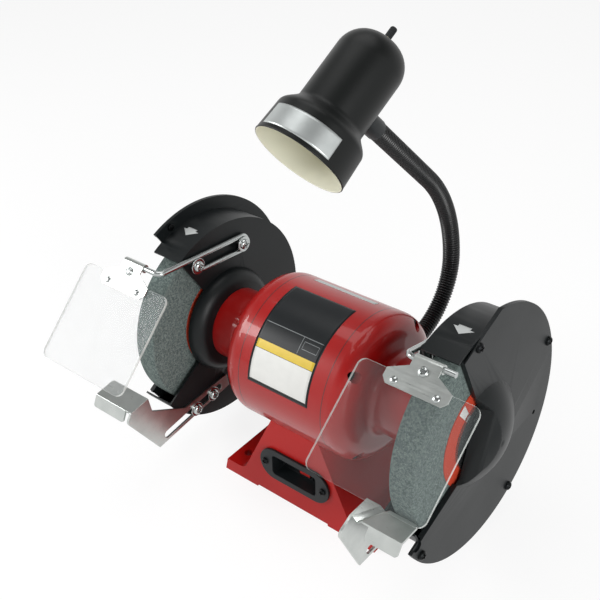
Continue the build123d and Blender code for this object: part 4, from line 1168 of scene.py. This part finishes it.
@dataclass
class EyeShield(Assembly):
    """Bent-rod arm, strap and clear shield of one side."""

    side: Side = Side.LEFT
    tilt: float = 42.0
    strap_lift: float = 2.83
    strap_thick: float = 1.5
    shield_thick: float = 3.0
    clamp_reach: float = 8.8
    clamp_radius: float = 4.75
    clamp_height: float = 2.6
    nut_flats: float = 7.0
    nut_height: float = 3.5
    rivet_reach: float = 24.8
    rivet_half: float = 21.0
    rivet_radius: float = 3.6
    rivet_height: float = 1.5

    def make(self) -> None:
        """Dresses the rod, softens strap and shield and adds heads to screw and rivets."""
        self.dress(f"shield_arm_{self.side.tag}", BRIGHT_ROD)
        self.soften(f"shield_strap_{self.side.tag}", [ZINC], 0.4)
        lean = radians(self.tilt)
        self.normal = np.array((0.0, -sin(lean), cos(lean)))
        self.down = np.array((0.0, -cos(lean), -sin(lean)))
        self.make_shield()
        self.make_heads()

    def make_shield(self) -> None:
        """The clear sheet, with a painted highlight on its cut edges."""
        piece = self.soften(f"eye_shield_{self.side.tag}", [CLEAR, CLEAR_EDGE_HIGHLIGHT], 0.35, 1)
        edge_on = cos(pi / 3)
        normals = np.zeros(len(piece.data.polygons) * 3)
        piece.data.polygons.foreach_get("normal", normals)
        # Faces along the cut edges get the pale painted highlight
        rim = np.abs(normals.reshape(-1, 3) @ self.normal) < edge_on
        piece.data.polygons.foreach_set("material_index", rim.astype(np.int32))

    def make_heads(self) -> None:
        """Cross-recess head on the clamp screw, and quarter ellipses turned into domed rivet heads."""
        normal, tag = self.normal, self.side.tag
        under = self.pivot(f"shield_tilt_{tag}") + normal * self.strap_lift
        top = under + normal * self.strap_thick
        reach = self.down * self.clamp_reach
        clamp = pan_head(top + reach, normal, self.clamp_radius, self.clamp_height)
        nut = hex_head(under + reach, -normal, self.nut_flats, self.nut_height)
        screw = self.build(f"clamp_screw_{tag}_detailed", [clamp, nut], [BRIGHT_ROD])
        self.hand_in(screw, f"shield_{tag}", "zinc", f"clamp_screw_{tag}")
        a = np.linspace(0, pi / 2, 7)
        arc = np.column_stack((self.rivet_height * np.cos(a), self.rivet_radius * np.sin(a)))
        dome = np.vstack((arc, (0.0, 0.0)))
        heads = []
        for side in Side:
            spot = top + self.down * self.rivet_reach + side.value * self.rivet_half * ALONG_X
            back = spot - normal * (self.strap_thick + self.shield_thick)
            heads += [revolved(dome, spot, normal, 32, False), revolved(dome, back, -normal, 32, False)]
        rivets = self.build(f"shield_rivets_{tag}_domed", heads, [BRIGHT_ROD])
        self.hand_in(rivets, f"shield_{tag}", "zinc", f"shield_rivets_{tag}")


@dataclass(frozen=True)
class Run:
    """A stretch of the neck that lies across one joint: its ends, the bend and the bodies on both sides."""

    name: str
    begin: float
    stop: float
    bend: float
    reach: float
    bodies: tuple[str, str]
    nodes: tuple[str, ...] = ()


@dataclass
class Lamp(Assembly):
    """Ribbed gooseneck and spun shade with its switch."""

    neck_radius: float = 9.0
    root_from: float = -5.0
    root_fixed: float = -4.0
    tip_past: float = 14.0
    bend_reach: float = 22.0
    tip_reach: float = 12.0
    rib_pitch: float = 3.0
    rib_deep: float = 1.2
    points_a_rib: int = 8
    ferrule_radius: float = 9.7
    ferrule_bore: float = 8.2
    ferrule_from: float = 10.0
    ferrule_long: float = 34.0
    mouth_radius: float = 42.9
    bead_radius: float = 0.9
    bead_inset: float = 0.7
    collar_radius: float = 41.2
    collar_to: float = 32.0
    shoulder_soft: float = 2.0
    barrel_radius: float = 31.0
    barrel_from: float = 43.0
    barrel_to: float = 99.0
    length: float = 122.9
    wall: float = 1.4
    crown_radius: float = 9.0
    nipple_radius: float = 5.0
    band_t: Pair = (4.0, 24.0)
    band_angle: Pair = (-115.0, -20.0)
    band_lift: float = 0.05
    band_thick: float = 0.12
    nut_flats: float = 13.8
    nut_thick: float = 3.0
    knob_radius: float = 3.2
    knob_long: float = 12.0
    flutes: int = 18
    flute_deep: float = 0.35

    def make(self) -> None:
        """Works out the neck's line from its joints, then makes neck, shade, nut and knob."""
        names = ("neck_low_bend", "neck_side_bend", "neck_high_bend", "shade_side_bend")
        self.start, self.knee, self.crook, self.end = (self.pivot(name) for name in names)
        self.lower_radius = self.knee[1] - self.start[1]
        self.lead = unit(self.end - self.crook)
        self.turn = np.arctan2(self.lead[2], self.lead[1]) - pi / 2
        self.upper_radius = (self.knee[1] - self.crook[1]) / (1 - cos(self.turn))
        self.knee_at = self.lower_radius * pi / 2
        self.crook_at = self.knee_at + self.upper_radius * self.turn
        self.end_at = self.crook_at + float(np.linalg.norm(self.end - self.crook))
        knob = self.joint("lamp_switch")
        self.axis = unit(np.array(knob["axis"]))
        self.mouth = np.array(knob["pos_m"]) / MM - self.axis * (self.length + self.nut_thick)
        self.make_neck()
        self.make_ferrule()
        self.make_shade()
        self.make_band()
        self.make_switch()
        self.dress("bulb_holder", BLACK_ABS)

    def route(self, s: Array) -> tuple[Array, Array]:
        """The neck's middle line: a quarter arc to the rear and up, an arc forwards, then straight.

        Args:
            s: distances from the fitting on the motor.

        Returns:
            Points and headings, in radians from the rear upwards.
        """
        a = s / self.lower_radius
        low = np.stack((self.lower_radius * np.sin(a), self.lower_radius * (1 - np.cos(a))), -1)
        b = (s - self.knee_at) / self.upper_radius
        high = np.stack((self.upper_radius * (np.cos(b) - 1), self.upper_radius * np.sin(b)), -1)
        c = s - self.crook_at
        lead = np.array((-sin(self.turn), cos(self.turn)))
        first, second = s <= self.knee_at, s <= self.crook_at
        flat = np.where(
            first[:, None],
            self.start[1:] + np.where(s[:, None] < 0, np.stack((s, 0 * s), -1), low),
            np.where(second[:, None], self.knee[1:] + high, self.crook[1:] + lead * c[:, None]),
        )
        heading = np.where(first, np.maximum(a, 0), np.where(second, pi / 2 + b, pi / 2 + self.turn))
        return np.column_stack((np.full_like(s, self.start[0]), flat)), heading

    def at(self, s: float) -> Array:
        """One point of the neck's middle line, in metres."""
        return self.route(np.array([s]))[0][0] * MM

    def rib_tube(self, begin: float, end: float) -> Surface:
        """A ribbed tube: radius less rib_deep times (1 - |sin(pi s / pitch)|), round ribs with sharp valleys.

        Args:
            begin: where it starts along the neck.
            end: where it ends.

        Returns:
            The tube, closed at both ends.
        """
        count = int(round((end - begin) / self.rib_pitch * self.points_a_rib))
        s = np.linspace(begin, end, count + 1)
        radius = self.neck_radius - self.rib_deep * (1 - np.abs(np.sin(pi * s / self.rib_pitch)))
        centre, heading = self.route(s)
        normal = np.column_stack((0 * s, -np.sin(heading), np.cos(heading)))
        a = full_turn(40)[None, :, None]
        ring = np.cos(a) * ALONG_X + np.sin(a) * normal[:, None, :]
        body = centre[:, None] + ring * radius[:, None, None]
        caps = np.repeat(centre[[0, -1], None], a.size, axis=1)
        return Surface(np.concatenate((caps[:1], body, caps[1:])), wrap_cols=True)

    def make_neck(self) -> None:
        """Four ribbed pieces along the neck's line, each lying across one joint, from the middle of one span
        to the next; they ride on no body.
        """
        knee, crook, end, reach = self.knee_at, self.crook_at, self.end_at, self.bend_reach
        low, middle, high = knee / 2, (knee + crook) / 2, (crook + end) / 2
        tip = end + self.tip_past
        for run in (
            Run("neck_root", self.root_from, low, 0.0, reach, ("stand", "neck_low")),
            Run("neck_knee", low, middle, knee, reach, ("neck_low", "neck_mid"), ("neck_lower",)),
            Run("neck_crook", middle, high, crook, reach, ("neck_mid", "neck_high"), ("neck_middle",)),
            Run("neck_tip", high, tip, end, self.tip_reach, ("neck_high", "lamp"), ("neck_upper",)),
        ):
            piece = self.build(run.name, [self.rib_tube(run.begin, run.stop)], [BLACK_SHEATH], sharp=70.0)
            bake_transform(piece)
            if run.nodes:
                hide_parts(*run.nodes)
            log.info("piece %s between %s and %s", run.name, *run.bodies)

    def make_ferrule(self) -> None:
        """A smooth sleeve from the ribs into the shade's barrel, a turned outline with a rounded mouth."""
        origin = self.at(self.end_at + self.ferrule_from) / MM
        bore, radius, long = self.ferrule_bore, self.ferrule_radius, self.ferrule_long
        outline = rounded([(0, bore, 0.5), (0, radius, 1.0), (long, radius, 0.5), (long, bore, 0.5)])
        piece = self.build("shade_sleeve", [revolved(outline, origin, self.lead, 64)], [BLACK_ABS])
        self.hand_in(piece, "lamp", "black_neck", "shade_ferrule")

    def shade_radius(self, t: Array) -> Array:
        """Outer radius of the shade: an even collar, a smooth step down to the barrel, an elliptic crown.

        Args:
            t: distances from the mouth.

        Returns:
            The radii.
        """
        flare = self.collar_radius - self.mouth_radius
        collar = self.mouth_radius + flare * np.clip(t / self.collar_to, 0, 1)
        step = self.barrel_from - self.collar_to + 2 * self.shoulder_soft
        k = np.clip((t - self.collar_to + self.shoulder_soft) / step, 0, 1)
        low = collar + (self.barrel_radius - collar) * k * k * (3 - 2 * k)
        q = np.clip((t - self.barrel_to) / (self.length - self.barrel_to), 0, 1)
        crown = self.crown_radius + (self.barrel_radius - self.crown_radius) * np.sqrt(1 - q**2)
        return np.where(t > self.barrel_to, crown, low)

    def make_shade(self) -> None:
        """A turned wall with a rolled rim: black outside, cream inside, which lies one wall inwards."""
        crown_t = self.barrel_to + (self.length - self.barrel_to) * np.sin(np.linspace(0, pi / 2, 16))
        # Rings stand close together where the outline turns
        collar_t = np.linspace(1.0, self.collar_to - 3, 12)
        step_t = np.linspace(self.collar_to - 2, self.barrel_from + 3, 17)
        t = np.concatenate((collar_t, step_t, (60, 80), crown_t))
        outer = np.column_stack((t, self.shade_radius(t)))
        slope = np.gradient(outer[:, 1]) / np.maximum(np.gradient(t), 1e-6)
        lean = np.column_stack((slope, -np.ones_like(slope)))
        inner = outer + lean / np.linalg.norm(lean, axis=1, keepdims=True) * self.wall
        inner[:, 1] = np.maximum(inner[:, 1], self.nipple_radius)
        a, r = np.linspace(-pi / 2, pi / 2, 9), self.bead_radius
        bead = np.column_stack((r - r * np.cos(a), self.mouth_radius - self.bead_inset + r * np.sin(a)))
        neck = np.array(((self.length, self.nipple_radius), (self.length - self.wall, self.nipple_radius)))
        loop = np.vstack((bead, outer, neck, inner[::-1]))
        count, inner_bead = 128, 4
        painted = np.arange(len(loop)) >= len(bead) + len(outer) + 1
        painted[:inner_bead] = True
        surface = revolved(loop, self.mouth, self.axis, count)
        piece = self.build("shade_spun", [surface], [SHADE_BLACK, SHADE_CREAM], np.tile(painted, count))
        self.hand_in(piece, "lamp", "shade_enamel", "shade")

    def make_band(self) -> None:
        """A blank foil band part of the way round the collar, just over the shade's radius."""
        t = np.linspace(*self.band_t, 12)[:, None]
        turn = np.radians(np.linspace(*self.band_angle, 60))[None, :]
        radius = self.shade_radius(t) + self.band_lift
        grid = self.mouth + self.axis * t[..., None] + around(self.axis, turn) * radius[..., None]
        self.hand_in(self.plate("collar_band", grid, self.band_thick, FOIL), "lamp", "shade_enamel")

    def make_switch(self) -> None:
        """A chamfered nut on the crown and a fluted knob: radius less a cosine ripple round it."""
        crown = self.mouth + self.axis * self.length
        nut = hex_head(crown, self.axis, self.nut_flats, self.nut_thick, self.nipple_radius)
        piece = self.build("lamp_nut_chamfered", [nut], [PLATED_NUT])
        self.hand_in(piece, "lamp", "plated_nut", "lamp_nut")
        a, top = full_turn(8 * self.flutes), self.knob_long
        t = np.array((0.0, 0.0, 0.8, 1.6, top - 1.6, top - 0.6, top, top))[:, None]
        size = np.array((0.0, 0.92, 1.0, 1.0, 1.0, 0.93, 0.8, 0.0))[:, None] * self.knob_radius
        fluted = np.array((0.0, 0.0, 0.0, 1.0, 1.0, 0.4, 0.0, 0.0))[:, None]
        radius = size - self.flute_deep * fluted * (0.5 + 0.5 * np.cos(self.flutes * a))
        base = crown + self.axis * self.nut_thick
        points = base + self.axis * t[..., None] + around(self.axis, a) * radius[..., None]
        knob = self.build("lamp_knob_fluted", [Surface(points, wrap_cols=True)], [BLACK_ABS])
        self.hand_in(knob, "knob", "black_plastic", "lamp_knob")


@dataclass(frozen=True)
class SoftBox:
    """A square soft light, in metres and watts, that faces a place over the bench."""

    name: str
    place: Triple
    aim: float
    size: float
    power: float

    def make(self) -> None:
        """Adds the light, turned to its target over the origin."""
        light = bpy.data.lights.new(self.name, "AREA")
        light.size = self.size
        light.energy = self.power
        lamp = bpy.data.objects.new(self.name, light)
        lamp.location = self.place
        lamp.rotation_mode = "QUATERNION"
        ray = Vector((0.0, 0.0, self.aim)) - Vector(self.place)
        lamp.rotation_quaternion = ray.to_track_quat("-Z", "Y")
        bpy.context.scene.collection.objects.link(lamp)


@dataclass
class Studio:
    """Pale floor, soft lamps and a camera where the photographer stood."""

    azimuth: float = 42.74
    elevation: float = 34.43
    roll: float = -4.71
    place: Triple = (519.63, -596.67, 772.44)
    lens: float = 59.79
    sensor: float = 36.0
    clip: Pair = (0.01, 50.0)
    floor_half: float = 6000.0
    floor_drop: float = 0.4
    floor_share: float = 0.80
    floor_glow: float = 1.06
    fill: float = 0.24
    ceiling: float = 0.2
    sweep: Pair = (0.3, 0.75)
    lamps: tuple[SoftBox, ...] = (
        SoftBox("overhead", (-0.2, 0.2, 1.7), 0.15, 1.2, 9.0),
        SoftBox("front_left", (-1.5, -1.1, 1.2), 0.15, 0.8, 20.0),
        SoftBox("right", (1.5, -0.75, 0.9), 0.2, 0.7, 15.0),
    )

    def make(self) -> None:
        """Makes the floor, the world, the lamps and the camera."""
        bpy.context.scene.view_settings.view_transform = "Standard"
        self.make_floor()
        self.make_world()
        for lamp in self.lamps:
            lamp.make()
        self.make_camera()

    def white_to_camera(self, tree: bpy.types.NodeTree) -> bpy.types.Node:
        """1 for rays that the eye, a reflection or a clear sheet sends, and 0 for light.

        Args:
            tree: the nodes that it joins.

        Returns:
            The node whose value that is.
        """
        path = add_node(tree, "ShaderNodeLightPath")
        largest = {"operation": "MAXIMUM"}
        seen = add_node(tree, MATHS, largest, {0: (path, "Is Camera Ray"), 1: (path, "Is Glossy Ray")})
        return add_node(tree, MATHS, largest, {0: (seen, 0), 1: (path, "Is Transmission Ray")})

    def make_floor(self) -> None:
        """A wide pale sheet that shows white and keeps a soft shadow."""
        side, low = self.floor_half * MM, -self.floor_drop * MM
        mesh = bpy.data.meshes.new("floor")
        corners = [(-side, -side, low), (side, -side, low), (side, side, low), (-side, side, low)]
        mesh.from_pydata(corners, [], [(0, 1, 2, 3)])
        floor = bpy.data.objects.new("floor", mesh)
        bpy.context.scene.collection.objects.link(floor)
        material = bpy.data.materials.new("white_paper_sweep")
        material.use_nodes = True
        tree = material.node_tree
        tree.nodes.clear()
        seen = self.white_to_camera(tree)
        share = add_node(tree, MATHS, {"operation": "MULTIPLY", 1: self.floor_share}, {0: (seen, 0)})
        paper = add_node(tree, "ShaderNodeBsdfDiffuse", {"Color": hex_linear("f4f4f4")})
        light = {"Color": hex_linear("ffffff"), "Strength": self.floor_glow}
        glow = add_node(tree, "ShaderNodeEmission", light)
        both = add_node(tree, "ShaderNodeMixShader", None, {0: (share, 0), 1: (paper, 0), 2: (glow, 0)})
        add_node(tree, "ShaderNodeOutputMaterial", None, {"Surface": (both, 0)})
        mesh.materials.append(material)

    def make_world(self) -> None:
        """White at the horizon and dark overhead where it is seen, and a plain grey light elsewhere."""
        world = bpy.data.worlds.new("studio")
        world.use_nodes = True
        tree = world.node_tree
        tree.nodes.clear()
        seen = self.white_to_camera(tree)
        place = add_node(tree, COORDINATES)
        parts = add_node(tree, "ShaderNodeSeparateXYZ", None, {"Vector": (place, "Generated")})
        low, high = self.sweep
        span = {"From Min": low, "From Max": high, "To Min": 1.0, "To Max": self.ceiling}
        sky = add_node(tree, SPAN, span, {"Value": (parts, "Z")})
        plain_fill = {"data_type": "FLOAT", "A": self.fill}
        strength = add_node(tree, MIX, plain_fill, {"Factor": (seen, 0), "B": (sky, "Result")})
        white = {"Color": hex_linear("ffffff")}
        light = add_node(tree, "ShaderNodeBackground", white, {"Strength": (strength, 0)})
        add_node(tree, "ShaderNodeOutputWorld", None, {"Surface": (light, 0)})
        bpy.context.scene.world = world

    def make_camera(self) -> None:
        """The camera's axes follow from its azimuth, elevation and roll."""
        a, e, r = radians(self.azimuth), radians(self.elevation), radians(self.roll)
        level = np.array((cos(a), sin(a), 0.0))
        rise = np.array((-sin(a) * sin(e), cos(a) * sin(e), cos(e)))
        right = level * cos(r) + rise * sin(r)
        up = rise * cos(r) - level * sin(r)
        back = np.cross(right, up)
        data = bpy.data.cameras.new("photographer")
        data.lens = self.lens
        data.sensor_width = self.sensor
        data.clip_start, data.clip_end = self.clip
        camera = bpy.data.objects.new("photographer", data)
        turn = Matrix(np.column_stack((right, up, back)).tolist()).to_4x4()
        camera.matrix_world = Matrix.Translation(Vector(self.place) * MM) @ turn
        bpy.context.scene.collection.objects.link(camera)
        bpy.context.scene.camera = camera


def main() -> None:
    """Builds the sub-assemblies in order."""
    logging.basicConfig(level=logging.INFO, format="%(name)s %(message)s")
    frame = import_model()
    guards = (
        Guard(frame, side=Side.LEFT, turn=0.0, arrow_angle=80.0),
        Guard(frame, side=Side.RIGHT, turn=8.0, arrow_angle=86.5),
    )
    Pedestal(frame).make()
    Motor(frame).make()
    Spindle(frame).make()
    for guard in guards:
        guard.make()
    Fasteners(frame, guards=guards).make()
    for side, tilt in ((Side.LEFT, 42.0), (Side.RIGHT, 37.0)):
        WorkRest(frame, side=side).make()
        EyeShield(frame, side=side, tilt=tilt).make()
    Lamp(frame).make()
    Studio().make()


if __name__ == "__main__":
    main()
